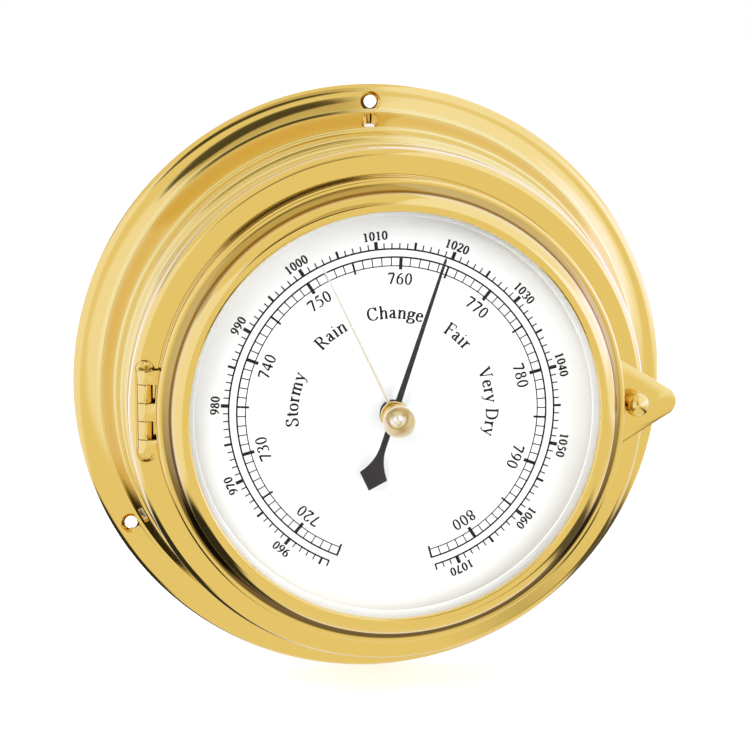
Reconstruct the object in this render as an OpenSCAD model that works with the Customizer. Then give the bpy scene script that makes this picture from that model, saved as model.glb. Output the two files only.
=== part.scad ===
// Marine barometer: a turned brass case on a round wall base, a hinged glazed bezel,
// a white dial with a pointer and a set hand, and an aneroid movement behind the dial.
// The origin is the centre of the base's back face. The dial looks along -Y and +Z is up.
// Every module is drawn with its local Z pointing away from the wall; front() turns it.

/* [Base and drum] */
// Inside radius of the drum, which every other radius follows
bore_r = 59.6; // [56:0.1:64]
// Width of the base's flat rim outside the drum's foot
flange_w = 7; // [6.4:0.1:9]
// Thickness of the base
base_t = 2.6; // [2.2:0.1:3.4]
// Radius of the rounding at the base's rim
rim_round = 1.3; // [0.6:0.1:1.6]
// Thickness of the drum's wall where it rises from the base
foot_wall = 8.4; // [7.8:0.1:9]
// Height of the lower bead above the wall
low_bead_z = 16.8; // [15:0.2:18]
// Thickness of the drum's wall at the lower bead
low_bead_wall = 4.8; // [4.4:0.1:5.4]
// Height of the upper bead above the wall
high_bead_z = 24.2; // [22:0.2:26]
// Thickness of the drum's wall at the upper bead
high_bead_wall = 3.2; // [3:0.1:3.8]
// Radius of both beads' half-round section
bead_round = 0.5; // [0.3:0.05:0.7]
// Thickness of the drum's neck under the front ring
neck_wall = 2; // [1.8:0.1:2.6]
// Height of the drum, where the front ring sits
drum_h = 38.8; // [37:0.2:44]

/* [Wall fixing] */
// Distance of the wall screws from the base's edge
fixing_inset = 4.4; // [4.2:0.1:4.8]
// Radius of a wall screw's hole
fixing_hole_r = 1.6; // [1.3:0.1:1.8]
// Radius of the countersink at the front of a hole
fixing_sink_r = 2.5; // [2.2:0.1:2.8]

/* [Rear cover] */
// Thickness of the rear cover
cover_t = 1.2; // [0.8:0.1:1.4]
// How deep the cover's seat lies behind the wall face
cover_seat = 2.0; // [1.8:0.1:2.2]
// Radius of the vent hole that lets the air in
vent_r = 2; // [1:0.25:3]
// Radius of the hole that lets a screwdriver in
access_r = 4; // [3.4:0.2:5]

/* [Front ring] */
// Thickness of the front ring
ring_t = 3.9; // [3.6:0.1:4.4]
// Width of the step inside the bezel's outer wall
step_w = 2.5; // [2:0.1:2.9]
// Depth of the step that the bezel closes on
step_depth = 0.85; // [0.6:0.05:1]
// Gap round the bezel's foot inside the step
step_gap = 0.35; // [0.3:0.05:0.6]
// Width of the rounding at the ring's outer edge
ring_round_w = 1.7; // [1:0.1:1.9]
// Height of the rounding at the ring's outer edge
ring_round_h = 2.8; // [1.5:0.1:3]

/* [Bezel and glass] */
// How far the bezel's wall lies inside the drum's bore
bezel_inset = 4.5; // [4.2:0.1:4.8]
// How far the bezel stands out of the front ring
bezel_h = 12.9; // [12.4:0.1:15]
// Width of the bezel from its wall to its window
bezel_w = 7.3; // [6.8:0.1:8]
// Thickness of the lip in front of the glass
lip_t = 1.7; // [1.3:0.1:2]
// Thickness of the glass
glass_t = 2; // [1.6:0.1:2.4]
// How far the glass reaches behind the lip
glass_grip = 2.5; // [2:0.1:2.7]
// Thickness of the white seal behind the glass
seal_t = 0.6; // [0.5:0.05:0.8]
// How far the seal shows inside the window
seal_show = 1.1; // [0.6:0.1:1.4]
// Thickness of the ring that holds the glass
retainer_t = 1.0; // [0.8:0.1:1.4]
// Height of the bezel's outer rim above its foot
bezel_rim_h = 7.9; // [7.4:0.1:8.2]
// Distance of the cove's inner edge from the bezel's wall
cove_inset = 3; // [2.8:0.1:3.2]

/* [Hinge and latch] */
// Distance of the hinge axis from the bezel's wall
hinge_out = 2.5; // [2.4:0.1:2.9]
// Radius of the hinge knuckles
knuckle_r = 1.8; // [1.6:0.05:1.85]
// Half the length of the hinge
hinge_half = 9.85; // [8.5:0.05:10.5]
// Half the length of the middle knuckle
mid_knuckle_half = 2.15; // [1.8:0.05:2.5]
// Length of each fixed knuckle
fixed_knuckle = 4.35; // [3.6:0.05:4.6]
// Radius of the hinge pin
pin_r = 0.9; // [0.7:0.05:1]
// Thickness of the latch tab
tab_t = 1.2; // [0.9:0.1:1.4]
// How far the tab stands out of the bezel's wall
tab_out = 13.7; // [12:0.1:16]
// Radius of the tab's rounded tip
tab_tip_r = 3.6; // [2.6:0.1:4]
// Height of the hinge and the latch above the middle of the dial
side_rise = 0.7; // [0:0.1:1.5]
// Half the width of the tab at the bezel
tab_half = 11; // [10:0.2:12]
// Distance of the ball knob from the bezel's wall
knob_out = 3.3; // [3.2:0.1:4.9]
// Radius of the ball knob
knob_r = 2.95; // [2.2:0.05:3]
// Radius of the ball knob's threaded shank
shank_r = 1.45; // [1.2:0.05:1.5]

/* [Dial and hands] */
// Gap between the dial's edge and the bezel's inside
dial_gap = 1.5; // [1:0.1:2]
// Thickness of the dial plate
dial_t = 0.8; // [0.6:0.1:1]
// How far the dial's face stands in front of the front ring
dial_proud = 4.1; // [3.6:0.1:4.4]
// Distance of the pointer's tip from the dial's edge
pointer_short = 10.8; // [8:0.1:14]
// Length of the pointer's tail
pointer_tail = 19; // [16:0.2:21]
// Radius of the pointer's hub
pointer_hub_r = 3.4; // [2.8:0.1:4]
// Direction of the pointer, clockwise from the top
pointer_angle = 18.4; // [0:0.1:60]
// Distance of the set hand's tip from the dial's edge
set_hand_short = 10.6; // [8:0.1:14]
// Direction of the set hand, clockwise from the top
set_hand_angle = -25.6; // [-60:0.1:0]
// Radius of the set hand's dished knob
set_knob_r = 3.8; // [3.4:0.1:4.6]

/* [Movement] */
// Gap between the movement's base plate and the drum's bore
plate_gap = 17.6; // [16:0.2:18.4]
// Thickness of the movement's base plate
plate_t = 2; // [1.6:0.1:2.4]
// Depth of the movement behind the plate that carries it
movement_l = 27.2; // [26.8:0.2:28]
// Thickness of the plate that carries the dial and movement
carrier_t = 1.6; // [1.4:0.1:1.8]
// Half the height of the pressure capsule at its middle
capsule_half = 3; // [2.6:0.1:3.2]
// Thickness of the main spring
spring_t = 1; // [0.8:0.1:1.2]
// Width of the main spring
spring_w = 18; // [15:0.5:19]
// Radius of the pointer's arbor
arbor_r = 0.6; // [0.5:0.05:0.7]
// Number of turns in the hairspring
hairspring_turns = 4; // [3:1:5]

/* [Fits] */
// Radial clearance of a shaft that turns in its hole
running = 0.05; // [0.03:0.01:0.08]
// Gap between faces that move past each other
face_gap = 0.15; // [0.1:0.05:0.3]

/* [Hidden] */
$fn = 96;
arc_steps = 8;
over = 1;

// Heights above the wall
ring_top = drum_h + ring_t;
step_z = ring_top - step_depth;
bezel_foot = step_z + face_gap;
bezel_top = ring_top + bezel_h;
rim_z = bezel_foot + bezel_rim_h;
glass_top = bezel_top - lip_t;
glass_back = glass_top - glass_t;
seal_back = glass_back - seal_t;
retainer_back = seal_back - retainer_t;
dial_face = ring_top + dial_proud;
dial_back = dial_face - dial_t;
carrier_back = drum_h - carrier_t;
plate_z = carrier_back - movement_l;
plate_top = plate_z + plate_t;
cover_back = cover_seat - cover_t;

// Radii that follow the drum's bore
neck_r = bore_r + neck_wall;
high_bead_r = bore_r + high_bead_wall;
low_bead_r = bore_r + low_bead_wall;
foot_r = bore_r + foot_wall;
base_r = foot_r + flange_w;
fixing_circle_r = base_r - fixing_inset;
bezel_r = bore_r - bezel_inset;
ring_open_r = bezel_r - step_w;
window_r = bezel_r - bezel_w;
glass_r = window_r + glass_grip;
cove_r = bezel_r - cove_inset;
hinge_x = bezel_r + hinge_out;
knob_x = bezel_r + knob_out;
tab_reach = bezel_r + tab_out;
plate_r = bore_r - plate_gap;

// Case details
edge_break = 0.5;
foot_fillet = 0.6;
bead_bite = 0.4;
bead_end = 85;
neck_rise = 6.1;
neck_ease = 2.2;
cavetto_top = low_bead_z - bead_round;
neck_start = high_bead_z + bead_round + neck_rise;
neck_end = neck_start + neck_ease;
rim_chamfer = 0.4;
cover_wall = 3.8;
cover_r = foot_r - cover_wall;
cover_play = 0.2;
wide_wall = 5.6;
wide_bore_r = foot_r - wide_wall;
lug_inset = 1.4;
lug_circle_r = wide_bore_r - lug_inset;
lug_r = 3;
lug_h = 6;
small_screw_r = 1.2;
small_head_r = 2.2;
small_head_t = 0.7;
cover_screw_l = 5;
fixing_angles = [90, 210, 330];
cover_angles = [30, 150, 270];
vent_at = [20, -30];

// Front ring details
inner_break = 0.2;
spigot_w = 1.8;
spigot_l = 3.3;
carrier_r = bore_r - running - spigot_w - 0.2;
carrier_screw_inset = 2.6;
carrier_screw_circle_r = ring_open_r + carrier_screw_inset;
carrier_screw_r = 1;
carrier_screw_l = 2.2;
carrier_angles = [0, 120, 240];

// Bezel details
pocket_play = 0.1;
pocket_r = glass_r + pocket_play;
pocket_wall = 0.6;
inner_wall_r = pocket_r + pocket_wall;
dial_r = inner_wall_r - dial_gap;
pointer_len = dial_r - pointer_short;
set_hand_len = dial_r - set_hand_short;
rim_round_r = 0.6;
cove_w = 1.8;
moulding_w = 2.8;
lip_edge = 0.5;
bush_r = 2;
bush_bore_r = 0.95;
bush_flange_r = 3.2;
bush_flange_t = 0.4;
nut_t = 0.7;

// Hinge details
hinge_z = ring_top + 0.3;
hinge_pocket_half_w = knuckle_r + 0.5;
hinge_pocket_z = hinge_z - knuckle_r - 0.6;
case_leaf_t = hinge_z - knuckle_r - hinge_pocket_z + 0.3;
knuckle_gap = 0.1;
tongue_t = 0.8;
leaf_web_t = 0.3;
leaf_web_drop = 0.6;
leaf_end_r = knuckle_r + 0.3;
leaf_screw_x = 0.5;
leaf_screw_y = hinge_half + 0.95;

// Latch details
tab_z = ring_top + 0.2;
tab_top = tab_z + tab_t;
tenon_l = 1.9;
tenon_half = tab_half - 1.6;
knob_collar_r = knob_r - 1.05;
knob_collar_t = 0.35;
knob_neck_r = 1.3;
knob_rise = 0.15;
knob_ball_z = tab_top + knob_collar_t + knob_rise + knob_r;
shank_tip = drum_h + 1.3;

// Hands and their arbors
hand_t = 0.3;
hand_top = glass_back - nut_t - face_gap;
hand_hub_r = 1.6;
hand_root_half = 0.45;
hand_tip_half = 0.2;
set_arbor_r = bush_bore_r - running;
washer_r = 2.8;
washer_t = 0.25;
washer_z = glass_top + bush_flange_t + face_gap / 2;
knob_z = washer_z + washer_t;
knob_seat_r = 1.7;
knob_dish_h = 5;
knob_rim_t = 0.3;
knob_edge_w = 0.3;
dish_floor = 1.6;
button_z = 1;
button_r = 2.3;
pointer_t = 0.4;
pointer_z = hand_top - hand_t - 0.25 - 2 * face_gap - pointer_t;
pointer_root_half = 0.72;
pointer_tip_half = 0.3;
pointer_waist = 8;
pointer_spread = 3.4;
pointer_corner = 3.6;
boss_r = 1.6;
boss_l = 1.4;
dial_hole_r = 3;

// Movement layout
foot_circle_r = plate_r - 12;
foot_angles = [90, 210, 330];
foot_body_r = 2.2;
foot_stud_r = 1.2;
nut_r = 2.4;
nut_h = 1.6;
pillar_circle_r = plate_r - 6;
pillar_angles = [30, 150, 270];
pillar_r = 2.5;
pillar_screw_l = 3;
rivet_r = 0.8;
capsule_r = plate_r / 2;
capsule_foot_h = 2;
capsule_wall = 0.4;
capsule_edge_half = 0.5;
capsule_ripple = 0.35;
capsule_ripples = 4;
capsule_mid = plate_top + capsule_foot_h + capsule_half;
capsule_top = capsule_mid + capsule_half;
post_r = 1.5;
post_hole_play = 0.4;
bracket_x = 10 - plate_r;
bracket_l = 10;
bracket_h = 4.5;
bend_r = 4;
spring_low = plate_top + bracket_h;
spring_high = spring_low + 2 * bend_r;
spring_tip = 9;
bracket_bolt_y = 7;
spring_bolt_y = 4;
bolt_l = 2.8;
bolt_space = 0.2;
adjust_r = 1.5;
adjust_head_r = 3;
adjust_head_t = 2;
adjust_drop = 1.5;
knife_r = 0.5;
knife_l = 7;
post_top = spring_high + spring_t + 2 * knife_r + 0.4;
lever_y = -6;
lever_w = 3;
lever_x0 = 3;
rocker_x = capsule_r + 4;
rocker_arm_a = 2.2;
rocker_r = 1;
rocker_pivot_r = 0.5;
rocker_z = spring_high + spring_t - 5;
rocker_low_y = -15;
rocker_high_y = 9;
rocker_post_r = 2;
link_x = rocker_x - rocker_arm_a;
link_w = 0.8;
link_gap = 0.6;
chain_r = 0.15;
drum_r = 0.5;
chain_y = -(drum_r + chain_r + 0.02);
chain_z = carrier_back - 4.7;
arbor_foot = post_top + 1.7;
arbor_pivot_r = 0.3;
arbor_pivot_l = 0.7;
bridge_t = 1.3;
bridge_w = 8;
bridge_leg = 1.6;
bridge_foot = 6;
bridge_foot_t = 1;
bridge_space = 0.4;
bridge_half = foot_circle_r - nut_r - bridge_space - bridge_foot;
upper_bush_r = 2;
upper_bush_over = 0.3;
collet_r = 1.3;
collet_t = 0.8;
hairspring_z = carrier_back - 0.75;
hairspring_in = collet_r + 0.3;
hairspring_out = 7;
hairspring_wire = 0.12;
stud_r = 0.5;

function arc(c, r, a0, a1) =
    [for (i = [0:arc_steps]) let (a = a0 + (a1 - a0) * i / arc_steps) c + r * [cos(a), sin(a)]];

function oval(c, rx, ry, a0, a1) =
    [for (i = [0:arc_steps]) let (a = a0 + (a1 - a0) * i / arc_steps)
        c + [rx * cos(a), ry * sin(a)]];

// A hollow sweep from r0, z0 in to r1, z1 that ends upright
function hollow_sweep(r0, z0, r1, z1) =
    [for (i = [0:arc_steps]) let (s = i / arc_steps)
        [r1 + (r0 - r1) * pow(1 - s, 2), z0 + (z1 - z0) * s]];

function ripple(r) = capsule_ripple * cos(360 * capsule_ripples * r / capsule_r);

// Height of the capsule's skin above its middle plane
function skin(r) =
    capsule_edge_half + (capsule_half - capsule_edge_half - capsule_ripple)
        * (1 - pow(r / capsule_r, 4)) + ripple(r) * (1 - pow(r / capsule_r, 8));

// Turns a module's local Z to face away from the wall
module front() {
    rotate([90, 0, 0]) children();
}

module at_angles(radius, angles) {
    for (a = angles) rotate([0, 0, a]) translate([radius, 0, 0]) children();
}

module rod(r, z0, z1) {
    translate([0, 0, z0]) cylinder(r = r, h = z1 - z0);
}

module tube(r_out, r_in, z0, z1) {
    difference() {
        rod(r_out, z0, z1);
        rod(r_in, z0 - over, z1 + over);
    }
}

module slab(x0, x1, y0, y1, z0, z1) {
    translate([x0, y0, z0]) cube([x1 - x0, y1 - y0, z1 - z0]);
}

// A round bar along local Y
module cross_rod(r, x, z, y0, y1) {
    translate([x, y0, z]) rotate([-90, 0, 0]) cylinder(r = r, h = y1 - y0);
}

// A turned ring with the given section
module turned(points) {
    rotate_extrude() polygon(points);
}

module case_shell() {
    outside = concat(
        [[base_r - edge_break, 0], [base_r, edge_break]],
        arc([base_r - rim_round, base_t - rim_round], rim_round, 0, 90),
        arc([foot_r + foot_fillet, base_t + foot_fillet], foot_fillet, 270, 180),
        hollow_sweep(foot_r, base_t + foot_fillet + 0.01, low_bead_r, cavetto_top),
        arc([low_bead_r, low_bead_z], bead_round, -bead_end, bead_end),
        hollow_sweep(low_bead_r - bead_bite, low_bead_z + bead_round,
            high_bead_r + 0.1, high_bead_z - bead_round),
        arc([high_bead_r, high_bead_z], bead_round, -bead_end, bead_end),
        [[high_bead_r - 0.2, high_bead_z + bead_round]],
        oval([high_bead_r - bead_bite, neck_end], high_bead_r - bead_bite - neck_r,
            neck_end - neck_start, 270, 180),
        [[neck_r, drum_h - rim_chamfer], [neck_r - rim_chamfer, drum_h], [bore_r, drum_h]]);
    inside = [[bore_r, low_bead_z - 0.8], [wide_bore_r, low_bead_z - 4.8],
        [wide_bore_r, cover_seat], [cover_r + cover_play, cover_seat],
        [cover_r + cover_play, 0]];
    color("gold") front() difference() {
        union() {
            turned(concat(outside, inside));
            at_angles(lug_circle_r, cover_angles) rod(lug_r, cover_seat, cover_seat + lug_h);
        }
        at_angles(fixing_circle_r, fixing_angles) {
            rod(fixing_hole_r, -over, base_t + over);
            translate([0, 0, base_t - (fixing_sink_r - fixing_hole_r)])
                cylinder(r1 = fixing_hole_r, r2 = fixing_sink_r,
                    h = fixing_sink_r - fixing_hole_r);
            rod(fixing_sink_r, base_t, base_t + over);
        }
        at_angles(lug_circle_r, cover_angles)
            rod(small_screw_r, cover_seat - over, cover_back + cover_screw_l);
    }
}

module front_ring() {
    section = concat(
        [[neck_r - rim_chamfer, drum_h], [neck_r, drum_h + rim_chamfer]],
        oval([neck_r - ring_round_w, ring_top - ring_round_h], ring_round_w, ring_round_h,
            0, 90),
        [[bezel_r + step_gap + inner_break, ring_top],
            [bezel_r + step_gap, ring_top - inner_break], [bezel_r + step_gap, step_z],
            [ring_open_r, step_z], [ring_open_r, drum_h],
            [bore_r - running - spigot_w, drum_h],
            [bore_r - running - spigot_w, drum_h - spigot_l],
            [bore_r - running, drum_h - spigot_l], [bore_r - running, drum_h]]);
    color("gold") front() difference() {
        turned(section);
        hinge_pocket();
        translate([knob_x, side_rise, 0]) rod(shank_r + running, shank_tip - 0.3, ring_top + over);
        at_angles(carrier_screw_circle_r, carrier_angles)
            rod(carrier_screw_r, drum_h - over, drum_h + carrier_screw_l);
        leaf_screw_places() rod(small_screw_r / 2, hinge_pocket_z - 1.2, hinge_pocket_z + over);
    }
}

// The round-ended pocket that lets the hinge into the front ring
module hinge_pocket() {
    translate([-hinge_x, side_rise, hinge_pocket_z]) {
        for (side = [-1, 1]) translate([0, side * hinge_half, 0])
            cylinder(r = hinge_pocket_half_w, h = ring_t);
        slab(-hinge_pocket_half_w, hinge_x - ring_open_r + over,
            -hinge_half - knuckle_gap, hinge_half + knuckle_gap, 0, ring_t);
    }
}

module rear_cover() {
    color("dimgray") front() difference() {
        rod(cover_r, cover_back, cover_seat);
        translate(concat(vent_at, 0)) rod(vent_r, -over, cover_seat + over);
        translate([bracket_x, 0, 0]) rod(access_r, -over, cover_seat + over);
        at_angles(lug_circle_r, cover_angles) rod(small_screw_r + 0.2, -over, cover_seat + over);
    }
}

// A slotted screw whose head's underside lies at z and whose shank rises from it
module rear_screw(head_r, head_t, shank, z, length) {
    difference() {
        union() {
            rod(head_r, z - head_t, z);
            rod(shank, z, z + length);
        }
        slab(-head_r - over, head_r + over, -0.25, 0.25, z - head_t - over, z - head_t / 2);
    }
}

module cover_screws() {
    color("silver") front() at_angles(lug_circle_r, cover_angles)
        rear_screw(small_head_r, small_head_t, small_screw_r, cover_back, cover_screw_l - 0.3);
}

// The round part of the hinge between two heights along the axis
module knuckle(y0, y1, bore) {
    difference() {
        union() {
            cross_rod(knuckle_r, -hinge_x, hinge_z, y0, y1);
            children();
        }
        cross_rod(bore, -hinge_x, hinge_z, y0 - over, y1 + over);
    }
}

module leaf_screw_places() {
    for (side = [-1, 1]) translate([-hinge_x + leaf_screw_x,
        side_rise + side * leaf_screw_y, 0]) children();
}

module hinge_case_leaf() {
    low = mid_knuckle_half + knuckle_gap / 2;
    high = mid_knuckle_half + fixed_knuckle - knuckle_gap / 2;
    floor_top = hinge_pocket_z + case_leaf_t - 0.3;
    color("gold") front() {
        for (side = [-1, 1]) {
            y0 = side_rise + (side > 0 ? low : -high);
            y1 = side_rise + (side > 0 ? high : -low);
            knuckle(y0, y1, pin_r)
                slab(-hinge_x - knuckle_r * 0.7, -hinge_x + knuckle_r * 0.7, y0, y1,
                    floor_top - 0.15, hinge_z);
        }
        difference() {
            union() {
                slab(-hinge_x - knuckle_r, -hinge_x + knuckle_r, side_rise - hinge_half,
                    side_rise + hinge_half, hinge_pocket_z, floor_top - 0.1);
                for (side = [-1, 1]) translate([-hinge_x, side_rise + side * hinge_half, 0])
                    rod(leaf_end_r, hinge_pocket_z, floor_top - 0.1);
            }
            leaf_screw_places() rod(small_screw_r / 2, 0, ring_top);
        }
    }
}

module hinge_leaf_screws() {
    floor_top = hinge_pocket_z + case_leaf_t - 0.4;
    color("gold") front() leaf_screw_places() {
        rod(small_screw_r / 2, hinge_pocket_z - 1.1, floor_top);
        rod(small_screw_r * 0.7, floor_top, floor_top + 0.4);
    }
}

module hinge_pin() {
    color("gold") front() cross_rod(pin_r, -hinge_x, hinge_z, side_rise - hinge_half,
        side_rise + hinge_half);
}

// Three tongues from the knuckles to the bezel's wall, joined by a thin curved web
module hinge_bezel_leaf() {
    edge = mid_knuckle_half + fixed_knuckle + knuckle_gap / 2;
    top = hinge_z + knuckle_r;
    middle = mid_knuckle_half - knuckle_gap / 2;
    spans = [for (s = [[-hinge_half, -edge], [-middle, middle], [edge, hinge_half]])
        [side_rise + s[0], side_rise + s[1]]];
    color("gold") front() difference() {
        union() {
            for (s = spans) knuckle(s[0], s[1], pin_r + running)
                slab(-hinge_x, -bezel_r + 2, s[0], s[1], top - tongue_t, top);
            intersection() {
                rod(bezel_r + leaf_web_t, top - tongue_t - leaf_web_drop, top);
                slab(-bezel_r - over, 0, side_rise - hinge_half, side_rise + hinge_half, 0, bezel_top);
            }
        }
        rod(bezel_r, 0, bezel_top);
    }
}

module bezel_ring() {
    moulding_r = cove_r - moulding_w;
    cove_z = rim_z + 2.3;
    section = concat(
        [[inner_wall_r, bezel_foot], [bezel_r - 0.3, bezel_foot], [bezel_r, bezel_foot + 0.3]],
        arc([bezel_r - rim_round_r, rim_z - rim_round_r], rim_round_r, 0, 90),
        oval([cove_r + cove_w, cove_z], cove_w, cove_z - rim_z, 270, 180),
        oval([moulding_r, cove_z], moulding_w, bezel_top - cove_z, 0, 90),
        arc([window_r + lip_edge, bezel_top - lip_edge - 0.1], lip_edge, 90, 180),
        [[window_r, glass_top], [pocket_r, glass_top], [pocket_r, retainer_back],
            [inner_wall_r, retainer_back]]);
    color("gold") front() difference() {
        turned(section);
        slab(bezel_r - tenon_l, bezel_r + over, side_rise - tenon_half, side_rise + tenon_half,
            tab_z, tab_top);
    }
}

module glass() {
    color([0.8, 0.9, 0.9, 0.3]) front() tube(glass_r, bush_r, glass_back, glass_top);
}

module glass_seal() {
    color("white") front() tube(glass_r, window_r - seal_show, seal_back, glass_back);
}

module glass_retainer() {
    color("gold") front() tube(pocket_r, window_r + 0.4, retainer_back, seal_back);
}

module glass_bush() {
    color("gold") front() {
        tube(bush_r, bush_bore_r, glass_back - nut_t, glass_top + bush_flange_t);
        tube(bush_flange_r, bush_r, glass_top, glass_top + bush_flange_t);
    }
}

module bush_nut() {
    color("gold") front() tube(bush_flange_r + 0.2, bush_r, glass_back - nut_t, glass_back);
}

// Outline of the latch tab: straight flanks that touch the round tip
module tab_outline() {
    tip_x = tab_reach - tab_tip_r;
    root_x = sqrt(pow(bezel_r, 2) - pow(tab_half, 2));
    span = sqrt(pow(tip_x - root_x, 2) + pow(tab_half, 2));
    touch = atan2(tab_half, root_x - tip_x) - acos(tab_tip_r / span);
    touch_x = tip_x + tab_tip_r * cos(touch);
    touch_y = tab_tip_r * sin(touch);
    translate([tip_x, 0]) circle(r = tab_tip_r);
    polygon([[root_x, -tab_half], [touch_x, -touch_y], [touch_x, touch_y],
        [root_x, tab_half], [root_x - side_rise, tab_half], [root_x - side_rise, -tab_half]]);
}

module latch_tab() {
    color("gold") front() difference() {
        union() {
            difference() {
                translate([0, side_rise, tab_z]) linear_extrude(height = tab_t) tab_outline();
                rod(bezel_r, 0, bezel_top);
            }
            intersection() {
                slab(bezel_r - tenon_l, bezel_r + over, side_rise - tenon_half, side_rise + tenon_half,
            tab_z, tab_top);
                rod(bezel_r + 0.2, tab_z, tab_top);
            }
        }
        translate([knob_x, side_rise, 0]) rod(shank_r + running, 0, bezel_top);
    }
}

module locking_knob() {
    collar_z = tab_top + face_gap;
    color("gold") front() translate([knob_x, side_rise, 0]) {
        rod(shank_r, shank_tip, collar_z);
        rod(knob_collar_r, collar_z, collar_z + knob_collar_t);
        rod(knob_neck_r, collar_z + knob_collar_t, knob_ball_z);
        translate([0, 0, knob_ball_z]) sphere(r = knob_r);
    }
}

module dial_carrier() {
    color("goldenrod") front() difference() {
        rod(carrier_r, carrier_back, drum_h);
        rod(upper_bush_r, 0, bezel_top);
        at_angles(foot_circle_r, foot_angles) rod(foot_stud_r, 0, bezel_top);
        at_angles(pillar_circle_r, pillar_angles) {
            rod(small_screw_r, 0, bezel_top);
            rod(small_head_r, drum_h - small_head_t, bezel_top);
        }
        at_angles(carrier_screw_circle_r, carrier_angles) rod(carrier_screw_r, 0, bezel_top);
        bridge_screw_places() rod(small_screw_r, 0, bezel_top);
        translate([hairspring_out, 0, 0]) rod(stud_r, 0, bezel_top);
    }
}

module carrier_screws() {
    color("silver") front() at_angles(carrier_screw_circle_r, carrier_angles)
        rear_screw(2 * carrier_screw_r, 0.8, carrier_screw_r, carrier_back,
            carrier_t + carrier_screw_l - 0.2);
}

module dial_feet() {
    color("goldenrod") front() at_angles(foot_circle_r, foot_angles) {
        rod(foot_body_r, drum_h, dial_back);
        rod(foot_stud_r, carrier_back - nut_h, drum_h);
    }
}

module dial_nuts() {
    color("silver") front() at_angles(foot_circle_r, foot_angles) difference() {
        translate([0, 0, carrier_back - nut_h]) cylinder(r = nut_r, h = nut_h, $fn = 6);
        rod(foot_stud_r, 0, bezel_top);
    }
}

module dial_plate() {
    color("white") front() tube(dial_r, dial_hole_r, dial_back, dial_face);
}

module upper_bush() {
    color("goldenrod") front()
        tube(upper_bush_r, arbor_r + running, carrier_back, drum_h + upper_bush_over);
}

module movement_base() {
    color("goldenrod") front() difference() {
        rod(plate_r, plate_z, plate_top);
        at_angles(pillar_circle_r, pillar_angles) rod(small_screw_r, 0, bezel_top);
        translate([bracket_x, 0, 0]) rod(adjust_r + running, 0, bezel_top);
        bracket_bolt_places() rod(small_screw_r, 0, bezel_top);
        rod(small_screw_r, 0, bezel_top);
    }
}

module movement_pillars() {
    color("goldenrod") front() at_angles(pillar_circle_r, pillar_angles) difference() {
        rod(pillar_r, plate_top, carrier_back);
        rod(small_screw_r, plate_top - over, plate_top + pillar_screw_l);
        rod(small_screw_r, carrier_back - pillar_screw_l, carrier_back + over);
    }
}

module pillar_screws() {
    color("silver") front() at_angles(pillar_circle_r, pillar_angles) {
        rear_screw(small_head_r, small_head_t, small_screw_r, plate_z,
            plate_t + pillar_screw_l - 0.2);
        rod(small_screw_r, carrier_back - pillar_screw_l + 0.2, drum_h - small_head_t);
        rod(small_head_r, drum_h - small_head_t, drum_h);
    }
}

module capsule_foot() {
    color("goldenrod") front() {
        rod(3, plate_top, plate_top + capsule_foot_h);
        rod(small_screw_r, plate_z, plate_top);
    }
}

// One rippled diaphragm of the capsule, from the middle plane out
module diaphragm() {
    steps = 4 * capsule_ripples;
    upper = [for (i = [0:steps]) let (r = capsule_r * i / steps) [r, skin(r)]];
    lower = [for (i = [steps:-1:0]) let (r = capsule_r * i / steps)
        [r, i == steps ? 0 : skin(r) - capsule_wall]];
    turned(concat(upper, lower));
}

module capsule_upper() {
    color("silver") front() translate([0, 0, capsule_mid]) diaphragm();
}

module capsule_lower() {
    color("silver") front() translate([0, 0, capsule_mid]) mirror([0, 0, 1]) diaphragm();
}

module capsule_post() {
    color("goldenrod") front() difference() {
        rod(post_r, capsule_top, post_top);
        cross_rod(knife_r, 0, spring_high + spring_t + knife_r, -post_r - over, post_r + over);
    }
}

module knife_pin() {
    color("silver") front()
        cross_rod(knife_r, 0, spring_high + spring_t + knife_r, -knife_l / 2, knife_l / 2);
}

module bracket_bolt_places() {
    for (side = [-1, 1]) translate([bracket_x + 2, side * bracket_bolt_y, 0]) children();
}

module spring_bolt_places() {
    for (side = [-1, 1]) translate([bracket_x - 1, side * spring_bolt_y, 0]) children();
}

module spring_bracket() {
    color("goldenrod") front() difference() {
        slab(bracket_x - bracket_l / 2, bracket_x + bracket_l / 2, -spring_w / 2 - 1,
            spring_w / 2 + 1, plate_top, spring_low);
        translate([bracket_x, 0, 0]) rod(adjust_r + running, 0, bezel_top);
        bracket_bolt_places() rod(small_screw_r, 0, plate_top + bolt_l + bolt_space);
        spring_bolt_places()
            rod(small_screw_r * 0.7, spring_low - bolt_l - bolt_space, spring_low + over);
    }
}

module bracket_screws() {
    color("silver") front() bracket_bolt_places()
        rear_screw(small_head_r, small_head_t, small_screw_r, plate_z, plate_t + bolt_l);
}

module main_spring() {
    bend_x = bracket_x - bracket_l / 2 + 1;
    mid_z = spring_low + bend_r + spring_t / 2;
    color("steelblue") front() difference() {
        union() {
            slab(bend_x, bracket_x + bracket_l / 2, -spring_w / 2, spring_w / 2, spring_low,
                spring_low + spring_t);
            slab(bend_x, spring_tip, -spring_w / 2, spring_w / 2, spring_high,
                spring_high + spring_t);
            difference() {
                cross_rod(bend_r + spring_t / 2, bend_x, mid_z, -spring_w / 2, spring_w / 2);
                cross_rod(bend_r - spring_t / 2, bend_x, mid_z, -spring_w, spring_w);
                slab(bend_x, bend_x + 2 * bend_r, -spring_w, spring_w, spring_low - over,
                    spring_high + spring_t + over);
            }
        }
        rod(post_r + post_hole_play, 0, bezel_top);
        translate([bracket_x, 0, 0]) rod(adjust_r + running, 0, spring_high - over);
        spring_bolt_places() rod(small_screw_r * 0.7, 0, spring_high - over);
        lever_rivet_places() rod(rivet_r, 0, bezel_top);
    }
}

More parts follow.
